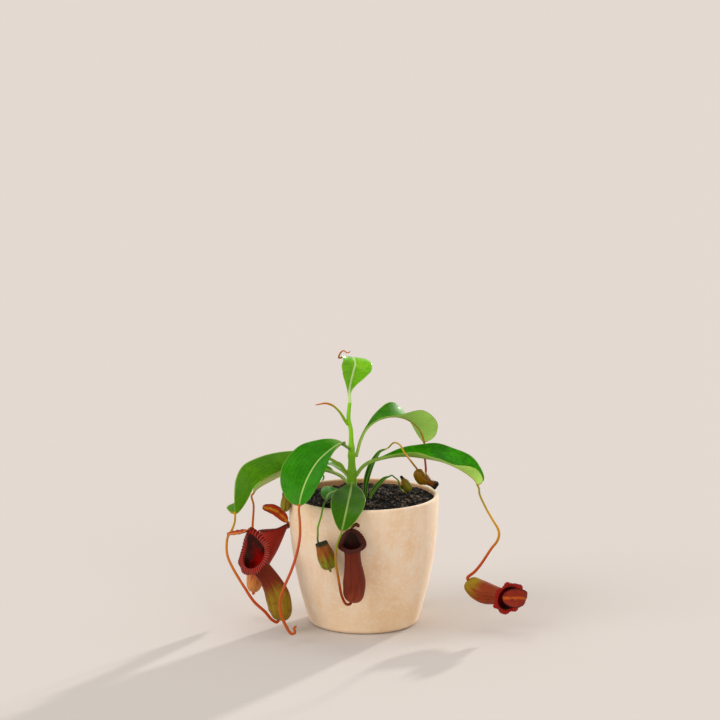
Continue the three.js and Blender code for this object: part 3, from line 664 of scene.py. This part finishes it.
# %% Limbs of the front and the right side
limb("front",
    leaf=dict(route=[(-11.2, -4.9, 133), (-11, -14, 135), (-12, -40, 133), (-14, -62, 129),
        (-16, -76, 122.5), (-18, -84, 115), (-20, -87.5, 107)],
        face=[(0, -0.1, 1), (0.1, -0.4, 1), (0, -1, 0.5)], half=16.5, stalk_share=0.12, widest=0.62,
        fold=[(10, 10), (10, 10)], ripple=0.5),
    tendril=dict(via=[(-23.6, -90, 97), (-25.3, -90.4, 88), (-25.5, -89.9, 80), (-23.8, -90.5, 69),
        (-21.8, -90.5, 57), (-20, -90.5, 48), (-16, -88, 39.5)], radii=[1, 1.1, 1.2, 1.3, 1.4]),
    pitcher=dict(route=[(-11.5, -83.3, 40.5), (-9.2, -84, 49), (-8.6, -84, 61), (-9.8, -84.3, 78),
        (-10.6, -84.6, 94.5)], radii=[1.5, 9.8, 10.4, 9.2, 7.8, 7.4, 9], back=(0, 1, 0), tilt=0.35,
        neck=7.7, crest=2, flare=4.2, droop=0.4, rise=0.9, wings=1, ribs=36),
    lid=dict(via=[(-9.2, -77, 109.3), (-6.5, -78.5, 111), (-4.3, -80, 109.3)],
        face=[(-1, -0.4, 1), (0.5, -1, 1)], half=2.6),
    finish=("front_leaf", "changing_tendril", "maroon_pitcher", "dark_lid"))
limb("small_left",
    leaf=dict(route=[(-14.7, -3.3, 124.5), (-21, -10, 127), (-28, -19, 128.5), (-33, -31, 128),
        (-34.5, -42, 125.5)], face=[(0, 0, 1), (0.2, -0.4, 1), (0, -1, 0.8)], half=9,
        stalk_share=0.25, widest=0.5),
    tendril=dict(via=[(-35, -53, 127), (-37, -63, 124), (-39, -70, 116), (-41.5, -74, 108),
        (-41.8, -74.5, 101), (-42, -70.5, 95.5), (-41, -65.5, 89), (-38.5, -63, 80),
        (-34, -63.5, 71), (-31, -68, 66)], radii=[0.8, 0.9, 1, 1]),
    pod=dict(route=[(-30.6, -74, 68.6), (-32.5, -74, 75), (-35.5, -74, 84), (-38.5, -74, 93.5)],
        radii=[1, 7.4, 8, 7.5, 6.6, 5.4]),
    finish=("deep_leaf", "green_tendril", "brown_pod"))
limb("right_upper",
    leaf=dict(route=[(-6.6, 1.5, 159), (-3, 5, 172), (3, 9, 182), (13, 14, 189), (26, 19, 191.5),
        (38, 24, 189), (49, 29, 181), (55, 34, 171), (57, 37, 163)],
        face=[(-0.8, 0, 0.6), (0, 0, 1), (0.5, 0.7, 0.5)], half=24.5, stalk_share=0.12, widest=0.62,
        fold=[(28, 24, 15, 25, 32), (16, 20, 32, 30, 26)], roundness=(1.8, 0.55), ripple=0.6),
    tendril=dict(via=[(58, 43, 147), (59, 47, 133), (57, 49, 114), (53, 54, 89), (48, 56, 62),
        (44.5, 58, 42), (40, 61.5, 34.5)], radii=[1, 1.2, 1.3, 1.5]),
    pitcher=dict(route=[(36, 66, 38), (35, 69, 48), (36, 73, 62), (39, 77, 76), (42, 80, 90)],
        radii=[1.5, 7.6, 8.2, 8, 8, 9.4, 10.6], back=(0, -1, 0), tilt=0.5, neck=7, flare=2.6,
        droop=0.8, ribs=40),
    lid=dict(via=[(42.5, 72, 108), (42.5, 78, 109.5), (42.5, 88, 108)],
        face=[(0, 0, 1), (0, 0.4, 1)], half=7.5),
    finish=("back_leaf", "red_tendril", "red_pitcher", "red_lid"))
limb("right",
    leaf=dict(route=[(-6, 1, 140.5), (-2, 2, 146), (5, 4, 151), (15, 6, 154), (28, 8, 156),
        (43, 9, 156), (58, 9, 154), (73, 8, 151), (88, 6, 145), (98, 4, 139), (104.2, 2.6, 133.5),
        (106.3, 2, 129.3)], face=[(-0.5, 0, 1), (0, 0, 1), (0, 0, 1)], half=24, stalk_share=0.22,
        widest=0.6, fold=[(28, 30, 24, 17, 60), (40, 37, 32, 31, 40)], roundness=(0.9, 0.42),
        ripple=0.6),
    tendril=dict(via=[(108, 0, 122), (114, -3, 109), (120, -7, 99), (125, -11, 91), (126, -13, 86),
        (124, -15, 80), (119, -17, 74), (108.5, -21, 59), (103, -22.5, 52.8)],
        radii=[1, 1.1, 1.3, 1.4, 1.6]),
    pitcher=dict(route=[(97.5, -24, 45.5), (102.5, -24.5, 39.5), (111.5, -27.5, 34.5),
        (122.5, -33, 32.8), (134.5, -41.5, 32.5)], radii=[1.8, 9, 10.2, 10, 8.6, 8.2, 12],
        back=(0.8, 0.6, 0.1), tilt=0.45, neck=3.5, flare=4.4, droop=0.6, rise=0.6, ribs=40,
        scallop=0.22),
    lid=dict(via=[(149.5, -48, 34.5), (143, -54.5, 36.3), (127.5, -56.5, 37)],
        face=[(0.2, -1, 0), (-0.2, -1, 0.1)], half=9.4, stalk_share=0.3),
    finish=("fresh_leaf", "gold_tendril", "olive_pitcher", "ember_lid"))
limb("basal_right",
    leaf=dict(route=[(2.5, -4.5, 100.4), (2.5, -4.5, 121), (2.4, -3.5, 130), (4, -1, 138),
        (7.5, 7, 146.8), (11.2, 15, 152.5), (15.3, 20, 157.3), (20.5, 23, 159.5)],
        face=[(-0.5, -1, 0.2), (-0.4, -1, 0.3), (-0.4, -0.8, 0.7)], half=4.2, stalk_half=1.7,
        stalk_share=0.3, widest=0.5, fold=[(35, 35), (10, 10)]),
    tendril=dict(via=[(28, 12, 168), (34, -5, 169), (38, -16, 164), (43, -18.5, 158),
        (47, -15, 152)], radii=[0.8, 0.9, 1]),
    pod=dict(route=[(50, -5, 145.5), (53, -3, 139), (60, 0, 134), (68, 3, 129)],
        radii=[1, 5.6, 6.4, 4, 3.4, 3.8]),
    finish=("dark_leaf", "yellow_tendril", "golden_pod"))
limb("small_right",
    leaf=dict(route=[(6.5, -10, 100.4), (6.5, -10, 121), (10, -7, 127.1), (14.7, -3, 132),
        (19.3, 1, 135.9), (23.6, 3, 137.6)],
        face=[(-0.5, -1, 0.3), (-0.5, -1, 0.5), (-0.3, -0.9, 0.8)], half=3.4, stalk_half=1.6,
        stalk_share=0.45, widest=0.5, fold=[(30, 30), (5, 5)]),
    tendril=dict(via=[(29, 7, 136), (32.5, 9, 132.5), (33.5, 9.5, 128), (35.5, 9.5, 123.5)],
        radii=[0.8, 0.8, 0.9]),
    pod=dict(route=[(40, 9, 122.5), (41, 9, 126), (38, 9, 132), (34.5, 9, 137)],
        radii=[1, 4.4, 4, 2.2, 1.2]),
    finish=("dark_leaf", "green_tendril", "olive_pod"))
print("limbs:", len(LIMBS))

# %% [markdown]
# ## Leaf blades
#
# A leaf of this plant is a long strap, leathery and glossy above and duller below, with a stout
# midrib that stands out underneath and a groove above it. It could be a flat sheet with a Solidify
# modifier, but then its margin would be a square edge and its rib no shape at all. Here each ring
# runs over the face from margin to margin and back underneath, so the blade has its own thickness:
# thin at the rounded margin and thick at the rib.

# %% Blade shape
BLADE_STEPS, BLADE_LANES = 110, 22
EDGE_THICK, LAMINA_THICK = 0.35, 0.75
TIP_HALF, RIB_HALF = 0.9, 1.1  # half the width of the tip and of the midrib
ROOT = 2.2  # how far a leaf goes on backwards into the stem
GROOVE_DEPTH, RIB_DEPTH = 0.35, 0.8
RIPPLES = 4.3  # waves along a margin
LOBE_PLACE, LOBE_SPREAD = 0.972, 0.03  # shares of a leaf's length


def blade(route, face, half, stalk_half=2.0, stalk_share=0.2, widest=0.5, roundness=(0.7, 0.7),
          fold=((15, 15), (15, 15)), lobe=0.0, stalk_thick=2.6, ripple=0.0, steps=BLADE_STEPS,
          lanes=BLADE_LANES):
    """Rings of a blade along its midrib's route. Half-width: stalk to tip + (half - stalk) x
    sin(pi s^k)^roundness, with s from the stalk's end to the tip, k set by the widest place, and
    one roundness on each side of that place. A point at share a of the width stands at angle
    fold x (0.7 + 0.3 a^2) above the level. A lobe pushes one margin out, close to the tip."""
    curve = Route(route)
    t = np.concatenate([[-ROOT / curve.length], np.sin(np.pi / 2 * np.linspace(0, 1, steps))])
    s = np.clip((t - stalk_share) / (1 - stalk_share), 0, 1)
    power = np.where(s < widest, *roundness)
    swell = np.clip(np.sin(np.pi * s ** (np.log(0.5) / np.log(widest))), 0, 1) ** power
    width = (stalk_half + (TIP_HALF - stalk_half) * s + (half - stalk_half) * swell)[:, None]
    middle, along = curve.at(t), curve.along(np.clip(t, 0, 1))
    side = unit(np.cross(along, turning(face, np.clip(t, 0, 1))))
    up = np.cross(side, along)
    even = np.linspace(-1, 1, 2 * lanes + 1)
    a = np.sin(even * np.pi / 2) * 0.35 + even * 0.65  # closer together towards the margins
    share, reach = np.abs(a)[None], np.abs(a)[None] * width
    rises = [profile(values, np.clip(t, 0, 1))[:, None] for values in fold]
    angle = np.radians(np.where(a > 0, rises[0], rises[1])) * (0.7 + 0.3 * share ** 2)
    beat = 2 * np.pi * (RIPPLES * t[:, None] + 0.31 * np.sign(a))
    wave = ripple * share ** 3 * np.sin(beat) * swell[:, None]
    stem_like = 1 - smooth(0, 0.25, s)[:, None]
    rib = np.exp(-(reach / RIB_HALF) ** 2) * (1 - 0.6 * s[:, None])
    body = LAMINA_THICK + (EDGE_THICK - LAMINA_THICK) * share
    body = body + (stalk_thick - LAMINA_THICK) * stem_like * (1 - 0.75 * share ** 0.7)
    body = body * np.sqrt(1 - share ** 10)
    lift = reach * np.sin(angle) + wave
    above = lift + body / 2 - GROOVE_DEPTH * rib * (1 - stem_like)
    below = lift - body / 2 - RIB_DEPTH * rib * (1 - 0.5 * stem_like)
    bulge = lobe * np.exp(-((t[:, None] - LOBE_PLACE) / LOBE_SPREAD) ** 2)
    across = np.sign(a) * reach * np.cos(angle) + np.where(a > 0, share ** 2 * bulge, 0)
    upper = placed(middle, (across, side), (above, up))
    lower = placed(middle, (across, side), (below, up))
    flow = point_field(reach.shape, a, t[:, None], 0)
    under = flow + np.array([0, 0, 1.0])
    under[:, [0, -1], 2] = 0.5
    span = point_field(reach.shape, reach, (1 - share) * width, t[:, None] * curve.length) / 10
    back = slice(-2, 0, -1)  # the margins belong to the upper face's lanes
    return tuple(np.concatenate([face_up, face_down[:, back]], 1)
                 for face_up, face_down in ((upper, lower), (flow, under), (span, span)))


sample = blade(**LIMBS["front"]["leaf"])[0]
print("a leaf has", sample.shape[0], "rings of", sample.shape[1], "points")

# %% [markdown]
# The leaf finish reads its place from the two fields: flow holds how far across, how far along and
# which face; span holds the distances from the midrib, the margin and the stem, in centimetres.
# The lamina is a cloudy mix of two greens. On it lie a pale midrib line, faint long veins that run
# with the margin, fine cross veins, and a thin light margin, which is partly the leaf's own pale
# edge and partly a painted highlight along its rounded rim. The underside is paler and dull: partly
# its own paler green, partly painted light for the light that shines through the thin leaf. The very
# tip takes the tendril's colour.

# %% Leaf finish
SHEEN = (0.85, 1.0, 0.45, 1.0)  # a leaf's shine is tinted by its green wax
RED_SHEEN = (1.0, 0.62, 0.5, 1.0)  # and a pitcher's by its red one


def leaf_finish(name, deep, fresh, rib, under, under_rib, tip, gloss, margin="8fae3c", shine=0.12):
    f = Finish(name, coat_weight=0.02, coat_roughness=0.12, specular_ior_level=shine,
               specular_tint=SHEEN)
    across, along, side = f.field("flow")
    from_rib, from_edge, _ = f.field("span")
    far = across.math("ABSOLUTE")
    below = f.step(side, 0.5, 0.6)
    clouds, fine = f.noise(55, 4), f.noise(420, 2)
    vein = (far * 22).math("COSINE") ** 6
    cross = ((along * 300 + far * 30).math("SINE") * 0.5 + 0.5) ** 3
    upper = f.blend(f.step(clouds + (fine - 0.5) * 0.6, 0.28, 0.76), deep, fresh)
    upper = f.blend(vein * 0.05 + cross * 0.01, upper, margin)
    rib_line = (1 - f.step(from_rib, 0.035, 0.13)) * (1 - f.step(along, 0.8, 1.0) * 0.4)
    upper = f.blend(rib_line * 0.85, upper, rib)
    # pale margin: partly the leaf's own pale edge, partly a painted highlight along its rounded rim
    upper = f.blend((1 - f.step(from_edge, 0.02, 0.09)) * 0.7, upper, margin)
    # painted light: the underside is paler partly by its own colour, partly to stand in for light
    # shining through the thin leaf
    lower = f.blend(f.step(clouds + (fine - 0.5) * 0.4, 0.35, 0.8) * 0.3, under, fresh)
    lower = f.blend(vein * 0.06 + cross * 0.03, lower, rib)
    lower = f.blend((1 - f.step(from_rib, 0.08, 0.16)) * f.step(along, 0.15, 0.6), lower, under_rib)
    lower = f.blend((1 - f.step(from_edge, 0.02, 0.1)) * 0.3, lower, under_rib)
    colour = f.blend(below, upper, lower)
    colour = f.blend((1 - f.step(along, 0.02, 0.3)) * 0.55, colour, rib)
    colour = f.blend(f.step(along, 0.983, 1.0), colour, tip)
    relief = vein * 0.12 + cross * 0.04 + fine * 0.15 + clouds * 0.7
    return f.feed(colour, gloss + fine * 0.1 + below * 0.28, relief, 0.0003, 0.7)


add_looks(leaf_finish, {  # deep, fresh, midrib, underside (painted brighter for light through the leaf), its rib and tip; gloss, margin (partly painted highlight), shine
    "deep_leaf": ("1f6e00 2c8400 b0c870 86a84c a2a23a b0541c", 0.24),
    "front_leaf": ("265600 326600 94ae58 8fae5a a2a23a b0541c", 0.3),
    "olive_leaf": ("346c00 488000 84a02c a2bc5c a8a040 a9861e", 0.4, "98a838"),
    # pale_leaf, back_leaf and fresh_leaf: undersides painted very bright, as painted light shining
    # through the leaf
    "pale_leaf": ("4c8c1c 70ac34 b4c878 c4dc84 a8b04c c0641e", 0.4),
    "back_leaf": ("246800 429000 93ad52 c0ee74 c08a2c c4571c", 0.52),
    "fresh_leaf": ("1c6a00 349600 8fb444 bcee70 b4a040 c07a1c", 0.38),
    "dark_leaf": ("124404 20640a 5a8a2c 3a7c1c 6f8a2c 9a8f2a", 0.36),
    # the young leaf's near-white margin is mostly painted highlight along its rolled edge
    "young_leaf": ("5eb004 8ace14 d8f0b0 9cdc34 c4e878 b5752c", 0.2, "ccec84", 0.3),
})

# %% [markdown]
# ## Tendrils and stem
#
# A tendril is a thin round stalk that goes on from the leaf's midrib. Its colour changes along it,
# often from the leaf's green through gold to red, so its finish mixes three colours by the share of
# its length, with a little noise so that the change has no straight border.

# %% Round stalks
ROUND_SHARE = 0.02  # the share of its length over which a stalk's end is rounded


def stalk(curve, radii, sides=14, step=1.3, rough=0.0, body=profile):
    """Circles along a curve. Their plane is spanned by the direction that the curve runs along
    least, made square to the heading, and by the cross product of the two. Radius: body(radii) x
    (1 + rough x noise), closed over the last share as sqrt(1 - u^6)."""
    t = np.linspace(0, 1, max(8, int(curve.length / step)))
    heading = curve.along(t)
    first = square_to(heading, np.linalg.svd(heading, full_matrices=False)[2][-1])
    second = np.cross(heading, first)
    a = around(sides)
    knobs = lumps(a * 2.5 + 3, t[:, None] * curve.length / 3, 1) - 0.5
    last = np.clip((t - 1) / ROUND_SHARE + 1, 0, 1)
    radius = body(radii, t)[:, None] * (1 + rough * knobs)
    radius = radius * np.sqrt(np.clip(1 - last ** 6, 0.02, 1))[:, None]
    rings = placed(curve.at(t), (radius * np.cos(a), first), (radius * np.sin(a), second))
    return rings, point_field(radius.shape, np.cos(a), t[:, None], np.sin(a))


def tendril_curve(parts):
    """From just inside the leaf's tip, in line with it, by its points, and into the pitcher."""
    tip = Route(parts["leaf"]["route"])
    lead = tip.at(1.0) + 3 * tip.along(1.0)
    points = [tip.at(0.985), tip.at(1.0), lead, *parts["tendril"]["via"]]
    body = parts.get("pitcher") or parts.get("pod")
    if body:
        base = Route(body["route"])
        points += [base.at(0.0) - 2 * base.along(0.0), base.at(0.02)]
    return Route(points)


# %% Tendril and stem finishes
def stalk_finish(name, first, middle, last, gloss=0.4):
    f = Finish(name, coat_weight=0.03, coat_roughness=0.25, specular_ior_level=0.14)
    _, along, _ = f.field("flow")
    patches, fine = f.noise(95, 3), f.noise(900, 2)
    place = along + (patches - 0.5) * 0.22
    colour = f.blend(f.step(place, 0.04, 0.38), first, middle)
    colour = f.blend(f.step(place, 0.36, 0.78), colour, last)
    colour = f.blend(f.step(fine, 0.55, 0.8) * 0.2, colour, "d99c4c")
    return f.feed(colour, gloss + fine * 0.15, fine + patches, 0.0002)


add_looks(stalk_finish, {  # at the leaf, in the middle and at the far end; roughness
    "salmon_tendril": ["b85c24 b84c26 b4521c"],
    "red_tendril": ["b05412 b4400c 9c2c0c"],
    "amber_tendril": ["a86410 b8600c c0640c"],
    "gold_tendril": ["9c8c1c c49214 b4440c"],
    "orange_tendril": ["b8720c c85a10 c4501c"],
    "golden_tendril": ["b8941c c46c0c b4400c"],
    "changing_tendril": ["6f8c18 a8741c 903008"],
    "green_tendril": ["487c0c 5f9014 7a8a1c"],
    "yellow_tendril": ["a8a41c c09a1c b07c14"],
    "young_tendril": ["7fb41c 94ac20 c46c10"],
    "stem_skin": ["5f8c1c 74ac24 88cc1c", 0.3],
})

# %% [markdown]
# The main stem is short. At each leaf it is wrapped by the leaf's clasping foot, so it swells there
# and narrows between: its radius grows by the highest of several small bells, one at each leaf.

# %% Stem
STEM_ROUTE = [(-11, 0, 100.4), (-11, 0, 124), (-11, 0, 149), (-11.5, 0, 168), (-12, 0, 183),
              (-14, 0, 193), (-13, 0, 209)]
STEM_RADII = [3.6, 4.2, 4, 3.2, 2.2, 2, 1.7]
CLASP_RISE, CLASP_LENGTH = 0.7, 3.5
stem_rings, stem_flow = stalk(Route(STEM_ROUTE), STEM_RADII, sides=40, step=0.8, rough=0.05)
clasps = np.array([parts["leaf"]["route"][0][2] for name, parts in LIMBS.items() if name != "top"])
swell = CLASP_RISE * np.exp(-((stem_rings[:, :1, 2] - clasps) / CLASP_LENGTH) ** 2).max(1)
outwards = unit(stem_rings - stem_rings.mean(1, keepdims=True))
stem_rings = stem_rings + outwards * swell[:, None, None]
stands_for(add_rings("stem_skin", stem_rings, FINISHES["stem_skin"], flow=stem_flow),
           "stem")
YOUNG_ROUTE = [(-14.6, -0.6, 188), (-17.1, -1.4, 191.6), (-22, -5, 200.5), (-28, -8, 207),
               (-35, -11, 210), (-41, -13, 209.5), (-45, -14, 209)]
young_rings, young_flow = stalk(Route(YOUNG_ROUTE), [1.5, 1.3, 1.1, 0.9, 0.5])
stands_for(add_rings("young_tip_skin", young_rings, FINISHES["young_tendril"], flow=young_flow),
           "tendril_young")
print("stem faces:", pieces_made["stem_skin"])

# %% [markdown]
# ## Pitchers
#
# A pitcher is a hollow leaf tip that stands upright from its tendril: a swollen foot, a waist, and
# a slanted mouth with a ribbed, rolled collar. Two thin wings run down its front. Sculpting would
# give one of them; a formula gives all five. Its rings run up the outside, over the collar and down
# the inside. The collar's section is a smooth line through six offsets from the wall, and the ribs
# are a cosine around the mouth, pushed square to that line.

# %% Pitcher shape
OUTSIDE_ROWS, COLLAR_ROWS, INSIDE_ROWS = 90, 34, 36
PITCHER_WALL = 0.9
INNER_START, INNER_END = 0.975, 0.2  # the hollow's two ends, in shares of the pitcher's route
RIB_HEIGHT, RIB_POINTS = 0.28, 5  # and how many points a rib has across
LID_LIFT = 1.5
WING_ANGLE, WING_WIDTH = 0.32, 0.045


def pitcher(route, radii, back, tilt, neck, flare, ribs, crest=5, droop=1.0, rise=1.0, wings=1.4,
            scallop=0.0):
    """Rings of an open pitcher. A point lies at: girth + offset + wing + rib from the axis, and is
    lifted by slant (tilt x radius x cos a) and by the neck (height x cos(a)^crest at the back)."""
    curve = Route(route)
    a = around(ribs * RIB_POINTS)[None]
    rows = np.linspace(0, 1, OUTSIDE_ROWS)
    u = np.linspace(0, 1, COLLAR_ROWS)[1:-1]
    v = np.linspace(1, 0, INSIDE_ROWS)
    shift_c = profile([0, flare * 0.55, flare, flare * 0.55, -0.3, -PITCHER_WALL], u)
    lift_c = profile([0, -droop * 0.3 - 0.7, -droop, -droop * 0.3 + 0.5, 0.4, -1.6], u)
    share_c = profile([1, rise, rise, (1 + rise) / 2, 1, 1], u)
    normal = -unit(np.stack([np.gradient(lift_c), -np.gradient(shift_c)], -1))

    def rowed(outside, collar, inside):
        """A column of values, a row for each ring of the three parts."""
        return np.concatenate([outside + 0 * rows, collar + 0 * u, inside + 0 * v])[:, None]

    t = rowed(rows ** 1.25, 1, INNER_END + (INNER_START - INNER_END) * v)
    shift, lift = rowed(0, shift_c, -PITCHER_WALL), rowed(0, lift_c, 0)
    share, part = rowed(1, share_c, 1), rowed(0, 1, 2)
    grow = rowed(0, np.sin(np.pi * u) ** 0.5, 0)
    wing_t = smooth(0.08, 0.25, t) * (1 - smooth(0.75, 0.92, t)) * (part == 0)
    off = np.minimum(np.abs(a - np.pi - WING_ANGLE), np.abs(a - np.pi + WING_ANGLE))
    wing = wings * wing_t * np.exp(-(off / WING_WIDTH) ** 2)
    rib = RIB_HEIGHT * np.cos(ribs * a) * grow
    lobes = 1 + scallop * (np.cos(7 * a + 1.2) + 0.5 * np.cos(11 * a) - 1.5) * grow
    shift = shift * np.where(shift > 0, lobes, 1) + rib * rowed(0, normal[:, 0], 0)
    lift = lift + rib * rowed(0, normal[:, 1], 0)
    floor_close = np.sqrt(np.clip(1 - (1 - smooth(0, 0.22, t - INNER_END)) ** 2, 0.02, 1))
    reach = (girth(radii, t) + shift + wing) * np.where(part == 2, floor_close, 1)
    along = curve.along(t[:, 0])
    rear = square_to(along, np.array(back, float))
    side = np.cross(along, rear)
    slant = smooth(0.4, 1, t) * tilt * reach * np.cos(a)
    crown = smooth(0.7, 1, t) * share * neck * np.clip(np.cos(a), 0, None) ** crest
    rings = placed(curve.at(t[:, 0]), (reach * np.cos(a), rear), (reach * np.sin(a), side),
                   (lift + slant + crown, along))
    flow = point_field(reach.shape, grow, t, part)
    return rings, flow, point_field(reach.shape, np.cos(a), np.sin(a), t)


def neck_top(route, radii, back, tilt, neck, **_):
    """The place just above the top of the neck, where the lid is hinged."""
    curve = Route(route)
    along = curve.along(1.0)
    rear = square_to(along, np.array(back, float))
    return curve.at(1.0) + rear * radii[-1] + along * (tilt * radii[-1] + neck + LID_LIFT)


sample = pitcher(**LIMBS["left"]["pitcher"])[0]
print("a pitcher has", sample.shape[0], "rings of", sample.shape[1], "points")

# %% [markdown]
# Outside, a pitcher is olive at its foot and turns red upwards, in streaks that run with its veins.
# The collar is striped dark and bright, one stripe to a rib. The throat is painted dark as painted
# shade, and deeper inside the wall is painted bright red as painted light shining through the thin
# wall.
# All three parts are one finish that mixes by the part number in flow.

# %% Pitcher finish
def pitcher_finish(name, foot, body, streak, collar, stripe, shaded_throat, painted_glow, turn, ribs):
    f = Finish(name, coat_weight=0.03, coat_roughness=0.2, specular_ior_level=0.18,
               specular_tint=RED_SHEEN)
    _, along, part = f.field("flow")
    cos_a, sin_a, _ = f.field("span")
    veins = f.noise(3.2, 3, vector=f.vector(cos_a, sin_a, along * 0.5))
    fine_veins = f.noise(9, 2, vector=f.vector(cos_a, sin_a, along * 0.35))
    spots, grain = f.noise(210, 3), f.noise(1400, 2)
    colour = f.blend(f.step(along + (veins - 0.5) * 0.5, *turn), foot, body)
    colour = f.blend(f.step(fine_veins, 0.48, 0.66) * 0.35, colour, streak)
    colour = f.blend(f.step(spots, 0.58, 0.72) * 0.45, colour, streak)
    wave = (sin_a.math("ARCTAN2", cos_a) * ribs).math("COSINE")
    stripes = f.step(wave + (spots - 0.5), -0.5, 0.6)
    rim = f.blend(stripes, collar, stripe)
    # painted shade: the throat just inside the collar is painted nearly black; deeper in, the wall
    # is painted bright red as painted light shining through it
    inside = f.blend(f.step(along + (spots - 0.5) * 0.16, 0.66, 0.92), painted_glow, shaded_throat)
    colour = f.blend(f.step(part, 0.05, 0.95), colour, rim)
    colour = f.blend(f.step(part, 1.05, 1.95), colour, inside)
    rough = 0.42 + grain * 0.18 - f.step(part, 0.1, 1.0) * 0.16
    return f.feed(colour, rough, fine_veins * 1.2 + grain * 0.3 + spots * 0.3, 0.00045)


add_looks(pitcher_finish, {  # foot, body, streaks, collar, stripes, painted throat shade, painted glow through the wall; turn, ribs
    "red_pitcher": ("8c7014 762814 5a180c 3c0a06 a82a1c 2c0806 e01008", (0.26, 0.56), 46),
    "crimson_pitcher": ("d08a48 9c2a1e 701810 4c120c 8c2822 24100a 7a0c08", (0.1, 0.46), 44),
    "maroon_pitcher": ("8c3c24 6c2818 4e1a10 34100a 4c1a12 180806 4a0c0a", (0.0, 0.3), 36),
    "olive_pitcher": ("9c8418 8c3818 70240e 780f0a b42018 2a0606 9c0a06", (0.0, 0.42), 40),
})

# %% [markdown]
# ## Lids and small pitchers
#
# A lid is a short, broad blade on the neck, so the leaf's function makes it too. The small pitchers
# are closed or have dried up: a round body on the tendril, wrinkled and black at its dead end.

# %% Lid and pod shapes
POD_TURNS = 72


def lid(body, via, face, half, stalk_share=0.05):
    """A blade from the neck's top by the lid's points, domed by twelve degrees."""
    return blade([tuple(neck_top(**body)), *via], face, half, stalk_half=1.4, stalk_thick=1.6,
                 stalk_share=stalk_share, roundness=(0.45, 0.45), fold=((12, 12), (12, 12)),
                 ripple=0.35, steps=60, lanes=16)


def pod(route, radii):
    """A round body whose wall wrinkles more and more towards its far end."""
    curve = Route(route)
    rings, flow = stalk(curve, radii, sides=POD_TURNS, step=0.35, body=girth)
    axis = rings.mean(1, keepdims=True)
    a = around(POD_TURNS)[None]
    t = flow[:, :1, 1]
    dried = smooth(0.6, 1.0, t)
    wrinkle = (lumps(3 + np.cos(a) * 1.7, 5 + np.sin(a) * 1.7 + t * 3, 0.8) - 0.5) * 0.5 * dried
    keel = 0.1 * np.exp(-((a - np.pi) / 0.12) ** 2) * smooth(0.05, 0.2, t) * (1 - dried)
    ridges = 0.012 * np.cos(14 * a) * (1 - dried)
    return axis + (rings - axis) * (1 + wrinkle + keel + ridges)[..., None], flow


# %% Lid and pod finishes
def lid_finish(name, rim, face, keel):
    f = Finish(name, coat_weight=0.04, coat_roughness=0.25, specular_ior_level=0.14)
    from_rib, from_edge, _ = f.field("span")
    clouds, fine = f.noise(190, 4), f.noise(700, 2)
    near_keel = 1 - f.step(from_rib + (clouds - 0.5) * 0.25, 0.02, 0.2)
    colour = f.blend(near_keel, face, keel)
    colour = f.blend(1 - f.step(from_edge + (clouds - 0.5) * 0.2, 0.0, 0.16), colour, rim)
    colour = f.blend(f.step(clouds, 0.52, 0.62) * 0.45, colour, rim)
    colour = f.blend(f.step(fine, 0.56, 0.75) * 0.35, colour, rim)
    return f.feed(colour, 0.38 + fine * 0.2, clouds + fine * 0.5, 0.0005)


def pod_finish(name, foot, body, streak, dead, dried=(0.72, 0.9)):
    f = Finish(name, coat_weight=0.04, coat_roughness=0.3, specular_ior_level=0.14)
    cos_a, along, sin_a = f.field("flow")
    veins = f.noise(3.5, 3, vector=f.vector(cos_a, sin_a, along * 0.6))
    fine = f.noise(650, 3)
    colour = f.blend(f.step(along + (veins - 0.5) * 0.5, 0.2, 0.7), foot, body)
    colour = f.blend(f.step(veins, 0.5, 0.64) * 0.8, colour, streak)
    colour = f.blend(f.step(along + (fine - 0.5) * 0.2, *dried), colour, dead)
    rough = 0.42 + f.step(along, *dried) * 0.35 + fine * 0.1
    return f.feed(colour, rough, veins * 0.8 + fine * 0.4, 0.0005)


add_looks(lid_finish, {  # margin, face and keel
    "red_lid": ["7c2010 b03c18 d08830"],
    "flame_lid": ["8c2412 d0441c f0a028"],
    "ember_lid": ["4c100a 8c2610 bc5410"],
    "dark_lid": ["34100a 54200f 7c3820"],
})
add_looks(pod_finish, {  # foot, body, streaks and dead end; where the end begins
    "olive_pod": ["828418 7e6414 6a2c10 16120c"],
    "golden_pod": ["7c5c00 744400 642800 18120a"],
    "brown_pod": ["7c8a1c 8c5014 78340e 1f2a14", (0.84, 0.97)],
})

# %% [markdown]
# ## Growing the limbs
#
# With shapes and finishes at hand, one loop grows every limb. Each piece takes the place of one
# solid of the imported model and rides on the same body.

# %% Limbs
TENDRIL_SHARE = 0.93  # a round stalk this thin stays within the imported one's six flat sides


def grow(node, look, rings, flow, span=None):
    """Adds one limb's piece from its rings and fields, in its finish."""
    fields = {"flow": flow} if span is None else {"flow": flow, "span": span}
    stands_for(add_rings(node + "_skin", rings, FINISHES[look], **fields), node)


for name, parts in LIMBS.items():
    looks = parts["finish"]
    grow("leaf_" + name, looks[0], *blade(**parts["leaf"]))
    thin = TENDRIL_SHARE * np.array(parts["tendril"]["radii"])
    grow("tendril_" + name, looks[1], *stalk(tendril_curve(parts), thin))
    if "pitcher" in parts:
        grow("pitcher_" + name, looks[2], *pitcher(**parts["pitcher"]))
        grow("lid_" + name, looks[3], *lid(parts["pitcher"], **parts["lid"]))
    if "pod" in parts:
        grow("pitcher_" + name, looks[2], *pod(**parts["pod"]))
    print(name, "grown")

# %% [markdown]
# ## Last look
#
# The faces of all the new pieces are counted.

# %% Face count
print("faces in all:", sum(pieces_made.values()))
